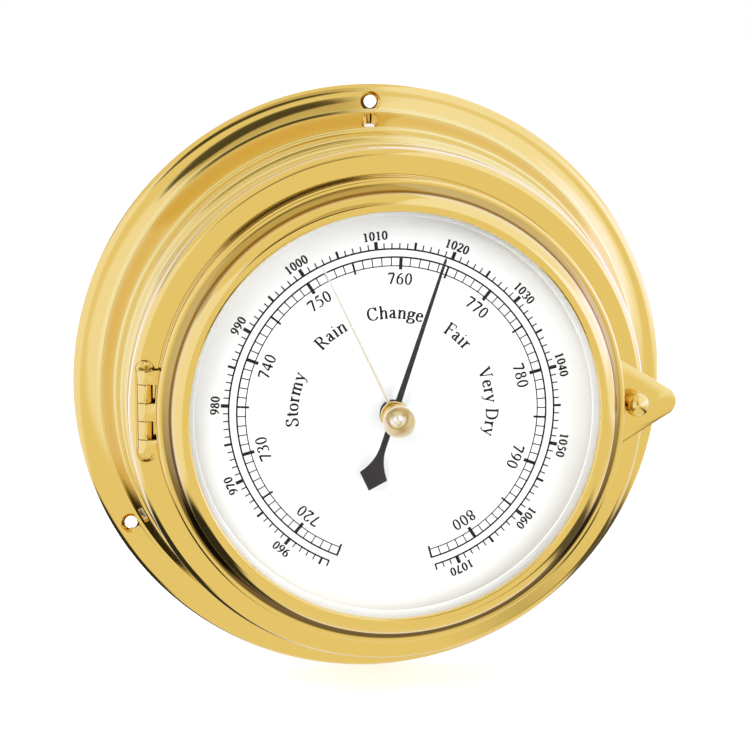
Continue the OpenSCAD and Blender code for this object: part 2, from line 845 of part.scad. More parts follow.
module spring_screws() {
    color("silver") front() spring_bolt_places() {
        rod(small_screw_r * 0.7, spring_low - bolt_l, spring_low + spring_t);
        rod(1.6, spring_low + spring_t, spring_low + spring_t + small_head_t);
    }
}

module lever_rivet_places() {
    for (x = [lever_x0 + 1.2, spring_tip - 1.2]) translate([x, lever_y, 0]) children();
}

module lever_arm() {
    z0 = spring_high + spring_t;
    color("goldenrod") front() difference() {
        slab(lever_x0, link_x + 1.5, lever_y - lever_w / 2, lever_y + lever_w / 2, z0, z0 + 1);
        lever_rivet_places() rod(rivet_r, 0, bezel_top);
        translate([link_x, lever_y, 0]) rod(link_w / 2, 0, bezel_top);
    }
}

module lever_rivets() {
    z0 = spring_high;
    color("goldenrod") front() lever_rivet_places() {
        rod(rivet_r, z0, z0 + spring_t + 1);
        rod(rivet_r + 0.4, z0 + spring_t + 1, z0 + spring_t + 1.4);
    }
}

module link_rod() {
    z0 = rocker_z + rocker_pivot_r + link_gap;
    color("silver") front() translate([link_x, lever_y, 0])
        rod(link_w / 2, z0, spring_high + spring_t + 1.3);
}

module rocker_posts() {
    color("goldenrod") front() difference() {
        for (y = [rocker_low_y, rocker_high_y]) translate([rocker_x, y, 0])
            rod(rocker_post_r, plate_top, rocker_z + 2);
        cross_rod(rocker_pivot_r + running, rocker_x, rocker_z, rocker_low_y - 3,
            rocker_high_y + 3);
    }
}

module rocker_shaft() {
    y0 = rocker_low_y + rocker_post_r + 0.2;
    y1 = rocker_high_y - rocker_post_r - 0.2;
    color("silver") front() {
        cross_rod(rocker_r, rocker_x, rocker_z, y0, y1);
        cross_rod(rocker_pivot_r, rocker_x, rocker_z, rocker_low_y - 1.5, rocker_high_y + 1.5);
        slab(rocker_x - rocker_arm_a - 0.5, rocker_x, lever_y - 0.6, lever_y + 0.6,
            rocker_z - rocker_pivot_r, rocker_z + rocker_pivot_r);
        slab(rocker_x - 0.5, rocker_x + 0.5, chain_y - 0.5, chain_y + 0.5, rocker_z,
            chain_z + 0.5);
    }
}

module chain() {
    color("silver") front() translate([0, chain_y, chain_z]) rotate([0, 90, 0])
        cylinder(r = chain_r, h = rocker_x - 0.5, $fn = 24);
}

module bridge_screw_places() {
    for (side = [-1, 1]) translate([0, side * (bridge_half + bridge_foot / 2), 0]) children();
}

module arbor_bridge() {
    z0 = arbor_foot - bridge_t;
    color("goldenrod") front() difference() {
        union() {
            slab(-bridge_w / 2, bridge_w / 2, -bridge_half, bridge_half, z0, arbor_foot);
            for (side = [-1, 1]) {
                y_in = side * (bridge_half - bridge_leg);
                slab(-bridge_w / 2, bridge_w / 2, min(y_in, side * bridge_half),
                    max(y_in, side * bridge_half), z0, carrier_back);
                slab(-bridge_w / 2, bridge_w / 2, min(y_in, side * (bridge_half + bridge_foot)),
                    max(y_in, side * (bridge_half + bridge_foot)),
                    carrier_back - bridge_foot_t, carrier_back);
            }
        }
        rod(arbor_pivot_r + running, 0, arbor_foot + over);
        bridge_screw_places() rod(small_screw_r, 0, bezel_top);
    }
}

module bridge_screws() {
    color("silver") front() bridge_screw_places()
        rear_screw(small_head_r, small_head_t, small_screw_r, carrier_back - bridge_foot_t,
            carrier_t + bridge_foot_t - bolt_space);
}

// A flat spiral of round wire, swept as one closed tube
module hairspring() {
    sides = 6;
    rings = 16 * hairspring_turns;
    grow = hairspring_out - hairspring_in - stud_r;
    points = [for (i = [0:rings]) let (a = 360 * hairspring_turns * i / rings,
            r = hairspring_in + grow * i / rings)
        for (k = [0:sides - 1]) let (b = 360 * k / sides, q = r + hairspring_wire * cos(b))
            [q * cos(a), q * sin(a), hairspring_z + hairspring_wire * sin(b)]];
    walls = [for (i = [0:rings - 1]) for (k = [0:sides - 1]) let (n = (k + 1) % sides)
        each [[i * sides + k, (i + 1) * sides + n, i * sides + n],
            [i * sides + k, (i + 1) * sides + k, (i + 1) * sides + n]]];
    first = [for (k = [1:sides - 2]) [0, k, k + 1]];
    end = rings * sides;
    last = [for (k = [1:sides - 2]) [end, end + k + 1, end + k]];
    color("steelblue") front() polyhedron(points, concat(walls, first, last));
}

module hairspring_stud() {
    color("silver") front() translate([hairspring_out, 0, 0])
        rod(stud_r, hairspring_z - 0.5, drum_h);
}

module hairspring_collet() {
    color("goldenrod") front()
        tube(collet_r, arbor_r, hairspring_z - collet_t / 2, hairspring_z + collet_t / 2);
}

module pointer_arbor() {
    color("silver") front() {
        rod(arbor_pivot_r, arbor_foot - arbor_pivot_l, arbor_foot + face_gap);
        rod(drum_r, arbor_foot + face_gap, chain_z + 4);
        rod(arbor_r, chain_z + 3, pointer_z + pointer_t);
    }
}

// Half the pointer's width at a distance along its tail
function tail_half(s) = pointer_root_half + (pointer_spread - pointer_root_half) * pow(s, 2.2);

module pointer() {
    tail_end = pointer_tail - pointer_corner;
    flank = [for (i = [0:arc_steps]) let (s = i / arc_steps)
        [tail_half(s), -pointer_waist - (tail_end - pointer_waist) * s]];
    right = concat([[pointer_tip_half, pointer_len - 1]], flank);
    left = [for (i = [len(right) - 1:-1:0]) [-right[i][0], right[i][1]]];
    color("black") front() rotate([0, 0, -pointer_angle]) difference() {
        union() {
            rod(pointer_hub_r, pointer_z, pointer_z + pointer_t);
            translate([0, 0, pointer_z]) linear_extrude(height = pointer_t)
                polygon(concat([[0, pointer_len]], right, [[0, -pointer_tail]], left));
        }
        rod(arbor_r, 0, bezel_top);
    }
}

module pointer_boss() {
    color("black") front() tube(boss_r, arbor_r, pointer_z - boss_l, pointer_z);
}

module set_hand() {
    color("gold") front() rotate([0, 0, -set_hand_angle])
        translate([0, 0, hand_top - hand_t]) linear_extrude(height = hand_t) difference() {
            union() {
                circle(r = hand_hub_r);
                polygon([[-hand_root_half, 0], [hand_root_half, 0],
                    [hand_tip_half, set_hand_len - 0.6], [0, set_hand_len],
                    [-hand_tip_half, set_hand_len - 0.6]]);
            }
            circle(r = set_arbor_r);
        }
}

module set_hand_arbor() {
    color("gold") front() rod(set_arbor_r, hand_top - hand_t - 0.1, knob_z + 1);
}

module friction_washer() {
    color("silver") front() tube(washer_r, set_arbor_r, washer_z, knob_z);
}

module set_hand_knob() {
    rim_z0 = knob_z + knob_dish_h;
    color("gold") front() difference() {
        union() {
            turned([[0, knob_z], [knob_seat_r, knob_z], [knob_seat_r + 0.8, knob_z + 0.5],
                [set_knob_r, rim_z0 - knob_rim_t], [set_knob_r, rim_z0],
                [set_knob_r - knob_edge_w, rim_z0], [button_r, knob_z + dish_floor],
                [0, knob_z + dish_floor]]);
            translate([0, 0, knob_z + button_z]) sphere(r = button_r);
        }
        rod(set_arbor_r, 0, knob_z + 1);
        slab(-set_knob_r, set_knob_r, -set_knob_r, set_knob_r, knob_z - 5, knob_z);
    }
}

module adjusting_screw() {
    top = spring_low - 0.4;
    color("silver") front() translate([bracket_x, 0, 0])
        rear_screw(adjust_head_r, adjust_head_t, adjust_r, plate_z - adjust_drop,
            top - plate_z + adjust_drop);
}

case_shell();
front_ring();
rear_cover();
cover_screws();
hinge_case_leaf();
hinge_leaf_screws();
hinge_pin();
dial_carrier();
carrier_screws();
dial_feet();
dial_nuts();
dial_plate();
upper_bush();
movement_base();
movement_pillars();
pillar_screws();
capsule_foot();
capsule_lower();
capsule_upper();
capsule_post();
knife_pin();
spring_bracket();
bracket_screws();
main_spring();
spring_screws();
lever_arm();
lever_rivets();
link_rod();
arbor_bridge();
bridge_screws();
rocker_posts();
hairspring();
hairspring_stud();
bezel_ring();
glass();
glass_seal();
glass_retainer();
glass_bush();
bush_nut();
hinge_bezel_leaf();
latch_tab();
set_hand();
set_hand_arbor();
set_hand_knob();
friction_washer();
locking_knob();
pointer();
pointer_boss();
pointer_arbor();
hairspring_collet();
rocker_shaft();
chain();
adjusting_screw();
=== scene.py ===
"""Looks and materials of the marine barometer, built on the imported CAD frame.

Lengths in the classes are millimetres in the instrument's own frame: x to the right and y up
as the dial is read, h out from the wall. world() turns them into the row frame in metres.
"""

from __future__ import annotations

import logging
import math
from contextlib import contextmanager
from dataclasses import dataclass
from enum import Enum
from typing import Any, Iterator, Sequence

import bmesh
import bpy
import numpy as np
from mathutils import Matrix, Vector

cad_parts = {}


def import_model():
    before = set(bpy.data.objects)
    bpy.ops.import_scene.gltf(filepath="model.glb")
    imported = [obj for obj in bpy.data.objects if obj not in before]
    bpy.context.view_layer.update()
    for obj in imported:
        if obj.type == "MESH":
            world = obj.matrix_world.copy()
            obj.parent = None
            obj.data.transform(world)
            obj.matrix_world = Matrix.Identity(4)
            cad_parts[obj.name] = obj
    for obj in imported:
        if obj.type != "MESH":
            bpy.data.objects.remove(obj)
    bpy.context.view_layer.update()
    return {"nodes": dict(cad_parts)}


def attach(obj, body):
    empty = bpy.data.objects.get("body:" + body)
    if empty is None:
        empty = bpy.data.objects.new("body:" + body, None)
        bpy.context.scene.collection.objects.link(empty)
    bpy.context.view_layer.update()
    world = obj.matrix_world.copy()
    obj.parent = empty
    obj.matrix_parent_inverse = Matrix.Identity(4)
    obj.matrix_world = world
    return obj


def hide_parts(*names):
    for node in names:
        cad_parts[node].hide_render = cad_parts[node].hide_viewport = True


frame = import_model()

LOG = logging.getLogger("barometer")
MM = 0.001
TURN = 2.0 * math.pi
WELD_M = 1e-7
LONG_MM = 0.3
GUARD_MM = 0.04
WHITE = (1.0, 1.0, 1.0, 1.0)
Socket = bpy.types.NodeSocket
Colour = tuple[float, float, float]
Edges = tuple[np.ndarray, np.ndarray]


class Body(Enum):
    """Rigid bodies of the instrument that a new piece can ride on."""

    CASE = "case"
    BEZEL = "bezel"
    SET_HAND = "set_hand"
    LOCK = "locking_knob"
    POINTER = "pointer"


# Shapes


def world(points: np.ndarray) -> np.ndarray:
    """Place points of the instrument frame in the row frame: (x, y, h) mm to (x, -h, y) m.

    Args:
        points: array of shape (n, 3).

    Returns:
        Array of the same shape in metres.
    """
    return np.stack([points[:, 0], -points[:, 2], points[:, 1]], axis=1) * MM


def link(name: str, data: bpy.types.ID) -> bpy.types.Object:
    """A new object of a mesh, lamp or camera, linked to the scene."""
    obj = bpy.data.objects.new(name, data)
    bpy.context.scene.collection.objects.link(obj)
    return obj


def add_mesh(
    name: str,
    points: np.ndarray,
    quads: np.ndarray | None = None,
    polygons: Sequence[Sequence[int]] = (),
) -> bpy.types.Object:
    """Make an object from arrays of points and faces, with its place in its mesh.

    Args:
        name: object name.
        points: (n, 3) points in the instrument frame.
        quads: (m, 4) vertex numbers, outward by the right-hand rule.
        polygons: further faces of any size.

    Returns:
        The new object, linked to the scene.
    """
    faces = [] if quads is None else quads.tolist()
    mesh = bpy.data.meshes.new(name)
    mesh.from_pydata(world(points).tolist(), [], faces + [list(p) for p in polygons])
    mesh.validate()
    mesh.update()
    return link(name, mesh)


def shade(obj: bpy.types.Object, crease_deg: float = 38.0) -> None:
    """Shade an object's mesh smooth but for edges above the crease angle.

    Args:
        obj: mesh object.
        crease_deg: angle in degrees.
    """
    mesh = obj.data
    mesh.polygons.foreach_set("use_smooth", np.ones(len(mesh.polygons), dtype=bool))
    mesh.set_sharp_from_angle(angle=math.radians(crease_deg))
    mesh.update()


@contextmanager
def editing(mesh: bpy.types.Mesh) -> Iterator[bmesh.types.BMesh]:
    """Open a mesh for editing and write it back at the end."""
    work = bmesh.new()
    work.from_mesh(mesh)
    yield work
    work.to_mesh(mesh)
    work.free()


def outward(obj: bpy.types.Object) -> None:
    """Point a closed mesh's faces outward.

    Args:
        obj: mesh object.
    """
    with editing(obj.data) as work:
        bmesh.ops.recalc_face_normals(work, faces=work.faces)
        if work.calc_volume(signed=True) < 0:
            bmesh.ops.reverse_faces(work, faces=work.faces)


def apply_modifiers(obj: bpy.types.Object) -> None:
    """Put what an object's modifiers make in the place of its mesh.

    Args:
        obj: mesh object.
    """
    bpy.context.view_layer.update()
    graph = bpy.context.evaluated_depsgraph_get()
    cooked = bpy.data.meshes.new_from_object(obj.evaluated_get(graph))
    obj.modifiers.clear()
    old = obj.data
    obj.data = cooked
    cooked.name = obj.name
    bpy.data.meshes.remove(old)


def cut(obj: bpy.types.Object, cutters: list[bpy.types.Object], crease_deg: float = 30.0) -> None:
    """Take the cutters' volumes out of an object and delete them.

    Args:
        obj: mesh to cut.
        cutters: closed meshes.
        crease_deg: angle above which an edge is crisp afterwards.
    """
    for cutter in cutters:
        tool = obj.modifiers.new("cut", "BOOLEAN")
        tool.operation = "DIFFERENCE"
        tool.solver = "EXACT"
        tool.object = cutter
        apply_modifiers(obj)
        bpy.data.objects.remove(cutter)
    shade(obj, crease_deg)


def refined(node: str, bevel_mm: float, crease_deg: float = 35.0) -> bpy.types.Object:
    """A merged copy of a CAD node with small rounded edges.

    Args:
        node: CAD node's name.
        bevel_mm: width of the edge rounding.
        crease_deg: angle above which an edge is crisp.

    Returns:
        The copy, not yet riding on a body.
    """
    mesh = frame["nodes"][node].data.copy()
    mesh.materials.clear()
    with editing(mesh) as work:
        bmesh.ops.remove_doubles(work, verts=work.verts, dist=2e-6)
        flat = math.radians(0.6)
        bmesh.ops.dissolve_limit(work, angle_limit=flat, verts=work.verts, edges=work.edges)
    obj = link(f"{node}_fine", mesh)
    bevel = obj.modifiers.new("edge", "BEVEL")
    bevel.width = bevel_mm * MM
    bevel.segments = 3
    bevel.limit_method = "ANGLE"
    bevel.angle_limit = math.radians(40.0)
    apply_modifiers(obj)
    shade(obj, crease_deg)
    return obj


def grid_quads(rows: int, cols: int, wrap_rows: bool, wrap_cols: bool) -> np.ndarray:
    """Vertex numbers of the quads of a rows by cols grid stored row by row.

    Args:
        rows: points down.
        cols: points across.
        wrap_rows: join the last row to the first.
        wrap_cols: join the last column to the first.

    Returns:
        (m, 4) array.
    """
    i = np.arange(rows if wrap_rows else rows - 1)[:, None]
    j = np.arange(cols if wrap_cols else cols - 1)[None, :]
    i2 = (i + 1) % rows
    j2 = (j + 1) % cols
    corners = [i * cols + j, i * cols + j2, i2 * cols + j2, i2 * cols + j]
    shape = (i.shape[0], j.shape[1])
    return np.stack([np.broadcast_to(c, shape) for c in corners], axis=-1).reshape(-1, 4)


class Section:
    """A turned piece's cross-section, drawn as lines and arcs in (radius, height)."""

    def __init__(self, r: float, h: float) -> None:
        """Start at a point."""
        self.points: list[tuple[float, float]] = [(r, h)]

    def line(self, r: float, h: float) -> Section:
        """Go straight to a point, with a point close to each end to keep the flat's shading.

        Args:
            r: radius.
            h: height.

        Returns:
            The section.
        """
        r0, h0 = self.points[-1]
        length = math.hypot(r - r0, h - h0)
        if length > LONG_MM:
            for s in (GUARD_MM / length, 1.0 - GUARD_MM / length):
                self.points.append((r0 + (r - r0) * s, h0 + (h - h0) * s))
        self.points.append((r, h))
        return self

    def arc(
        self, r: float, h: float, rx: float, rh: float, start: float, end: float, steps: int = 10
    ) -> Section:
        """Follow an ellipse's arc: centre plus (rx cos a, rh sin a) as a goes start to end.

        Args:
            r: centre's radius.
            h: centre's height.
            rx: half-axis along the radius.
            rh: half-axis along the height.
            start: first angle in degrees.
            end: last angle in degrees.
            steps: number of chords.

        Returns:
            The section.
        """
        angles = np.radians(np.linspace(start, end, steps + 1))
        arc = np.stack([r + rx * np.cos(angles), h + rh * np.sin(angles)], axis=1).tolist()
        if math.dist(arc[0], self.points[-1]) > 1e-6:
            self.line(*arc[0])
        self.points += [tuple(p) for p in arc[1:]]
        return self

    def bend(
        self, r: float, h: float, radius: float, start: float, end: float, steps: int
    ) -> Section:
        """Follow a circle's arc: arc() with both half-axes alike."""
        return self.arc(r, h, radius, radius, start, end, steps)

    def lift(self, lean: Sequence[tuple[float, float]], step: float) -> Section:
        """Run inward over a leaning surface: h grows by tan(lean) times the run.

        Args:
            lean: radii, outermost first, each with the surface's lean in degrees.
            step: run of one chord.

        Returns:
            The section.
        """
        radii, angles = np.array(lean).T
        r = np.arange(radii[0], radii[-1], -step)
        slope = np.tan(np.radians(np.interp(-r, -radii, angles)))
        h = self.points[-1][1] + np.concatenate([[0.0], np.cumsum(slope[1:] * step)])
        self.points += list(zip(r.tolist(), h.tolist()))
        return self

    def sweep(self, r1: float, h1: float, steps: int) -> Section:
        """Follow a hollow sweep that ends upright: r falls with (1 - s) squared, h grows with s.

        Args:
            r1: last radius.
            h1: last height.
            steps: number of chords.

        Returns:
            The section.
        """
        r0, h0 = self.points[-1]
        s = np.linspace(0.0, 1.0, steps + 1)[1:]
        radii = r1 + (r0 - r1) * (1.0 - s) ** 2
        heights = h0 + (h1 - h0) * s
        self.points += list(zip(radii.tolist(), heights.tolist()))
        return self

    def turn(
        self,
        name: str,
        segments: int,
        centre: tuple[float, float] = (0.0, 0.0),
        crease_deg: float = 38.0,
    ) -> bpy.types.Object:
        """Turn the closed section round the axis: (R cos t, R sin t, h) for t round the circle.

        Points on the axis become one pole each.

        Args:
            name: object name.
            segments: steps round the circle.
            centre: x and y of the axis.
            crease_deg: angle above which an edge is crisp.

        Returns:
            The new object.
        """
        section = np.array(self.points)
        if np.allclose(section[0], section[-1]):
            section = section[:-1]
        r, h = section[:, 0], section[:, 1]
        area = 0.5 * np.sum(r * np.roll(h, -1) - np.roll(r, -1) * h)
        if area < 0:
            r, h = r[::-1], h[::-1]
        angles = np.arange(segments) * TURN / segments
        x = centre[0] + r[:, None] * np.cos(angles)[None, :]
        y = centre[1] + r[:, None] * np.sin(angles)[None, :]
        rings = np.stack([x, y, np.broadcast_to(h[:, None], x.shape)], axis=-1).reshape(-1, 3)
        obj = add_mesh(name, rings, grid_quads(len(r), segments, True, True)[:, ::-1])
        if np.any(r < 1e-6):
            self.close_poles(obj.data, centre)
        outward(obj)
        shade(obj, crease_deg)
        return obj

    def close_poles(self, mesh: bpy.types.Mesh, centre: tuple[float, float]) -> None:
        """Merge the points on the axis and drop the faces that lie along it.

        Args:
            mesh: turned mesh.
            centre: x and y of the axis.
        """

        def on_axis(vert: bmesh.types.BMVert) -> bool:
            """Whether a vertex lies on the axis."""
            return math.dist((vert.co.x, vert.co.z), (centre[0] * MM, centre[1] * MM)) < WELD_M

        with editing(mesh) as work:
            bmesh.ops.remove_doubles(work, verts=work.verts, dist=WELD_M)
            bmesh.ops.dissolve_degenerate(work, edges=work.edges, dist=WELD_M)
            along = [face for face in work.faces if all(on_axis(v) for v in face.verts)]
            bmesh.ops.delete(work, geom=along, context="FACES")


def drill(
    r: float, low: float, high: float, centre: tuple[float, float], segments: int = 48
) -> bpy.types.Object:
    """Cutter for a round hole.

    Args:
        r: radius.
        low: height of its bottom.
        high: height of its top.
        centre: x and y of its axis.
        segments: steps round the circle.

    Returns:
        The cutter.
    """
    tool = Section(0.0, low).line(r, low).line(r, high).line(0.0, high)
    return tool.turn("cutter", segments, centre)


def round_points(radius: float, angles: np.ndarray, x: float = 0.0, y: float = 0.0) -> np.ndarray:
    """Points of a circle about (x, y) at the given angles."""
    return np.stack([x + radius * np.cos(angles), y + radius * np.sin(angles)], axis=1)


def level(outline: np.ndarray, height: float) -> np.ndarray:
    """A flat outline's points at one height."""
    return np.column_stack([outline, np.full(len(outline), height)])


def loft(name: str, rings: Sequence[np.ndarray]) -> bpy.types.Object:
    """Skin a stack of rings of equal length and close it with a face at each end.

    Args:
        name: object name.
        rings: (n, 3) points each, back ring first.

    Returns:
        The new object.
    """
    rows, n = len(rings), len(rings[0])
    ends = [list(range((rows - 1) * n, rows * n)), list(range(n))[::-1]]
    obj = add_mesh(name, np.concatenate(rings), grid_quads(rows, n, False, True), ends)
    outward(obj)
    return obj


def plate(
    name: str, outline: np.ndarray, low: float, high: float, round_r: float, steps: int = 4
) -> bpy.types.Object:
    """A flat plate with rounded front edges: rings of the outline, each drawn in and raised.

    Ring k lies at inset round_r (1 - cos a) and height high - round_r (1 - sin a) as a goes
    from 0 to a quarter turn, and the last ring is closed by one face.

    Args:
        name: object name.
        outline: (n, 2) points anticlockwise as seen from the front.
        low: height of the back.
        high: height of the front.
        round_r: radius of the front edge.
        steps: rings in the rounding.

    Returns:
        The new object.
    """
    ahead = np.roll(outline, -1, axis=0) - outline
    behind = outline - np.roll(outline, 1, axis=0)
    ahead /= np.linalg.norm(ahead, axis=1)[:, None]
    behind /= np.linalg.norm(behind, axis=1)[:, None]
    normal = np.stack([ahead[:, 1] + behind[:, 1], -ahead[:, 0] - behind[:, 0]], axis=1)
    length = np.linalg.norm(normal, axis=1)[:, None]
    normal = normal / length * (2.0 / np.maximum(length, 0.9))
    angles = np.linspace(0.0, math.pi / 2.0, steps + 1)
    insets = np.concatenate([[0.0], round_r * (1.0 - np.cos(angles))])
    heights = np.concatenate([[low], high - round_r * (1.0 - np.sin(angles))])
    rings = [level(outline - normal * inset, height) for inset, height in zip(insets, heights)]
    obj = loft(name, rings)
    shade(obj)
    return obj


def ribbons(name: str, strips: list[Edges], low: float, high: float) -> bpy.types.Object:
    """Many thin inked strokes in one mesh: each is a left and a right edge of equal length.

    The cross-section at each step is a flat rectangle from low to high between the edges.

    Args:
        name: object name.
        strips: pairs of (n, 2) edges.
        low: height of the backs.
        high: height of the faces.

    Returns:
        The new object.
    """
    points: list[np.ndarray] = []
    quads: list[np.ndarray] = []
    ends: list[list[int]] = []
    start = 0
    for left, right in strips:
        n = len(left)
        corners = [level(left, low), level(right, low), level(right, high), level(left, high)]
        points.append(np.stack(corners, axis=1).reshape(-1, 3))
        quads.append(grid_quads(n, 4, False, True) + start)
        last = start + 4 * (n - 1)
        ends += [[start + 3, start + 2, start + 1, start], [last, last + 1, last + 2, last + 3]]
        start += 4 * n
    obj = add_mesh(name, np.concatenate(points), np.concatenate(quads), ends)
    outward(obj)
    return obj


# Finishes


class Nodes:
    """Adds shader nodes to one tree, with their inputs set or linked."""

    def __init__(self, tree: bpy.types.NodeTree) -> None:
        """Keep the tree."""
        self.tree = tree

    def feed(self, node: bpy.types.Node, inputs: dict[str | int, Any]) -> None:
        """Link each input that is given a socket and set each that is given a value.

        Args:
            node: the node.
            inputs: sockets and values by the input's name or number.
        """
        for key, value in inputs.items():
            if isinstance(value, Socket):
                self.tree.links.new(value, node.inputs[key])
            else:
                node.inputs[key].default_value = value

    def add(self, kind: str, inputs: dict[str | int, Any], **options: Any) -> bpy.types.Node:
        """Add a node.

        Args:
            kind: its type, without the ShaderNode before it.
            inputs: as for feed.
            options: the node's own settings, made before its inputs.

        Returns:
            The node.
        """
        node = self.tree.nodes.new(f"ShaderNode{kind}")
        for key, value in options.items():
            setattr(node, key, value)
        self.feed(node, inputs)
        return node

    def math(self, operation: str, *values: Socket | float) -> Socket:
        """Result of a sum on sockets and numbers."""
        return self.add("Math", dict(enumerate(values)), operation=operation).outputs[0]

    def place(self) -> Socket:
        """The piece's own coordinates."""
        return self.add("TexCoord", {}).outputs["Object"]

    def noise(self, scale: float, detail: float, vector: Socket | None = None) -> Socket:
        """Noise on the piece's own coordinates or on another vector.

        Args:
            scale: cells in a metre.
            detail: octaves.
            vector: what to read it on.

        Returns:
            Socket with a value near 0.5.
        """
        vector = vector or self.place()
        values = {"Scale": scale, "Detail": detail, "Vector": vector}
        return self.add("TexNoise", values).outputs["Fac"]

    def across_axis(self) -> tuple[bpy.types.Node, Socket, Socket]:
        """Split coordinates, the place across the instrument's axis and its length."""
        split = self.add("SeparateXYZ", {0: self.place()})
        flat = self.add("CombineXYZ", {"X": split.outputs["X"], "Z": split.outputs["Z"]}).outputs[0]
        return split, flat, self.add("VectorMath", {0: flat}, operation="LENGTH").outputs["Value"]

    def lathe_marks(self, per_mm: float, jitter: float) -> Socket:
        """Lathe marks: noise read along the distance from the instrument's axis.

        Args:
            per_mm: marks in a millimetre.
            jitter: how much the marks wander round the circle.

        Returns:
            Socket with a value near 0 to 1.
        """
        split, flat, radius = self.across_axis()
        per_metre = per_mm / MM
        rings = {
            "X": self.math("MULTIPLY", radius, per_metre),
            "Y": self.math("MULTIPLY", split.outputs["Y"], per_metre),
        }
        turn = self.add("VectorMath", {0: flat, "Scale": jitter}, operation="SCALE")
        both = {0: self.add("CombineXYZ", rings).outputs[0], 1: turn.outputs[0]}
        total = self.add("VectorMath", both, operation="ADD")
        return self.noise(1.0, 3.0, total.outputs[0])

    def spread(self, value: Socket, low: float, high: float) -> Socket:
        """Map a value's 0.3 to 0.7 to a range.

        Args:
            value: input socket.
            low: result at 0.3.
            high: result at 0.7.

        Returns:
            Output socket.
        """
        values = {"From Min": 0.3, "From Max": 0.7, "To Min": low, "To Max": high, "Value": value}
        return self.add("MapRange", values).outputs["Result"]

    def ramp(self, value: Socket, start_mm: float, end_mm: float) -> Socket:
        """Smooth step of a length in metres between two places.

        Args:
            value: the length.
            start_mm: where the step is still 0.
            end_mm: where it has reached 1.

        Returns:
            Output socket.
        """
        values = {"From Min": start_mm * MM, "From Max": end_mm * MM, "Value": value}
        return self.add("MapRange", values, interpolation_type="SMOOTHSTEP").outputs["Result"]

    def blend(self, factor: Socket, first: Socket | Colour, second: Socket | Colour) -> Socket:
        """Mix two colours.

        Args:
            factor: 0 for the first, 1 for the second.
            first: a socket or a colour.
            second: the same.

        Returns:
            Output socket.
        """
        a, b = (c if isinstance(c, Socket) else (*c, 1.0) for c in (first, second))
        node = self.add("Mix", {"Factor": factor, "A": a, "B": b}, data_type="RGBA")
        return node.outputs["Result"]

    def bump(self, height: Socket, amount_mm: float) -> Socket:
        """A normal from a height.

        Args:
            height: socket with values 0 to 1.
            amount_mm: height in millimetres of a value of 1.

        Returns:
            Output socket.
        """
        values = {"Strength": 1.0, "Distance": amount_mm * MM, "Height": height}
        return self.add("Bump", values).outputs["Normal"]

    def show(self, output: str, factor: Socket, first: bpy.types.Node, second: bpy.types.Node) -> None:
        """Send a mix of two shaders to an output.

        Args:
            output: the output node's name.
            factor: 0 for the first, 1 for the second.
            first: a shader.
            second: the same.
        """
        mix = self.add("MixShader", {0: factor, 1: first.outputs[0], 2: second.outputs[0]})
        self.feed(self.tree.nodes[output], {"Surface": mix.outputs[0]})


def new_material(name: str) -> tuple[bpy.types.Material, Nodes, bpy.types.Node]:
    """A new material with its node adder and its Principled shader.

    Args:
        name: material name.

    Returns:
        Material, node adder and shader node.
    """
    material = bpy.data.materials.new(name)
    material.use_nodes = True
    return material, Nodes(material.node_tree), material.node_tree.nodes["Principled BSDF"]


@dataclass(frozen=True)
class Hollow:
    """A band between two radii, in mm, where light and shade are painted into the brass: set colours
    for its upper and lower half and a weaker lacquer.
    """

    inner: float
    outer: float
    upper: Colour
    lower: Colour
    lacquer: float = 0.25
    inner_edge: float = 0.15
    outer_edge: float = 0.25
    turns_from: float = -26.0
    turns_to: float = 14.0


@dataclass(frozen=True)
class PolishedBrass:
    """Turned, polished and lacquered brass."""

    name: str = "polished_brass"
    colour: Colour = (0.772, 0.522, 0.090)
    roughness: float = 0.07
    lacquer: float = 1.0
    lacquer_ior: float = 1.6
    lathe_mm: float = 0.00035
    waviness_mm: float = 0.010
    hollow: Hollow | None = None

    def build(self) -> bpy.types.Material:
        """Metal whose roughness and surface carry faint lathe marks and a slow waviness.

        Returns:
            The material.
        """
        material, nodes, shader = new_material(self.name)
        marks = nodes.lathe_marks(6.0, 60.0)
        slow = nodes.noise(45.0, 1.0)
        height = nodes.math("MULTIPLY_ADD", slow, self.waviness_mm / self.lathe_mm, marks)
        inputs = {
            "Base Color": (*self.colour, 1.0),
            "Metallic": 1.0,
            "Coat Weight": self.lacquer,
            "Coat Roughness": 0.03,
            "Coat IOR": self.lacquer_ior,
            "Roughness": nodes.spread(marks, self.roughness * 0.7, self.roughness * 1.35),
            "Normal": nodes.bump(height, self.lathe_mm),
        }
        nodes.feed(shader, inputs)
        # Painted light and shade: a band of the metal takes set colours by radius and height.
        if self.hollow is not None:
            nodes.feed(shader, self.tone(nodes, self.hollow))
        return material

    def tone(self, nodes: Nodes, hollow: Hollow) -> dict[str, Socket]:
        """Colour and lacquer with the band's painted light and shade, its upper half unlike its lower
        one.

        Args:
            nodes: the material's node adder.
            hollow: the hollow.

        Returns:
            Sockets by the shader's input.
        """
        split, _, radius = nodes.across_axis()
        inside = nodes.math(
            "MULTIPLY",
            nodes.ramp(radius, hollow.inner - hollow.inner_edge, hollow.inner + hollow.inner_edge),
            nodes.ramp(radius, hollow.outer + hollow.outer_edge, hollow.outer - hollow.outer_edge),
        )
        up = nodes.ramp(split.outputs["Z"], hollow.turns_from, hollow.turns_to)
        # Painted light and shade: the band's colour goes from the lower colour to the upper one with
        # height.
        painted = nodes.blend(up, hollow.lower, hollow.upper)
        loss = (hollow.lacquer - 1.0) * self.lacquer
        return {
            "Base Color": nodes.blend(inside, self.colour, painted),
            "Coat Weight": nodes.math("MULTIPLY_ADD", inside, loss, self.lacquer),
        }


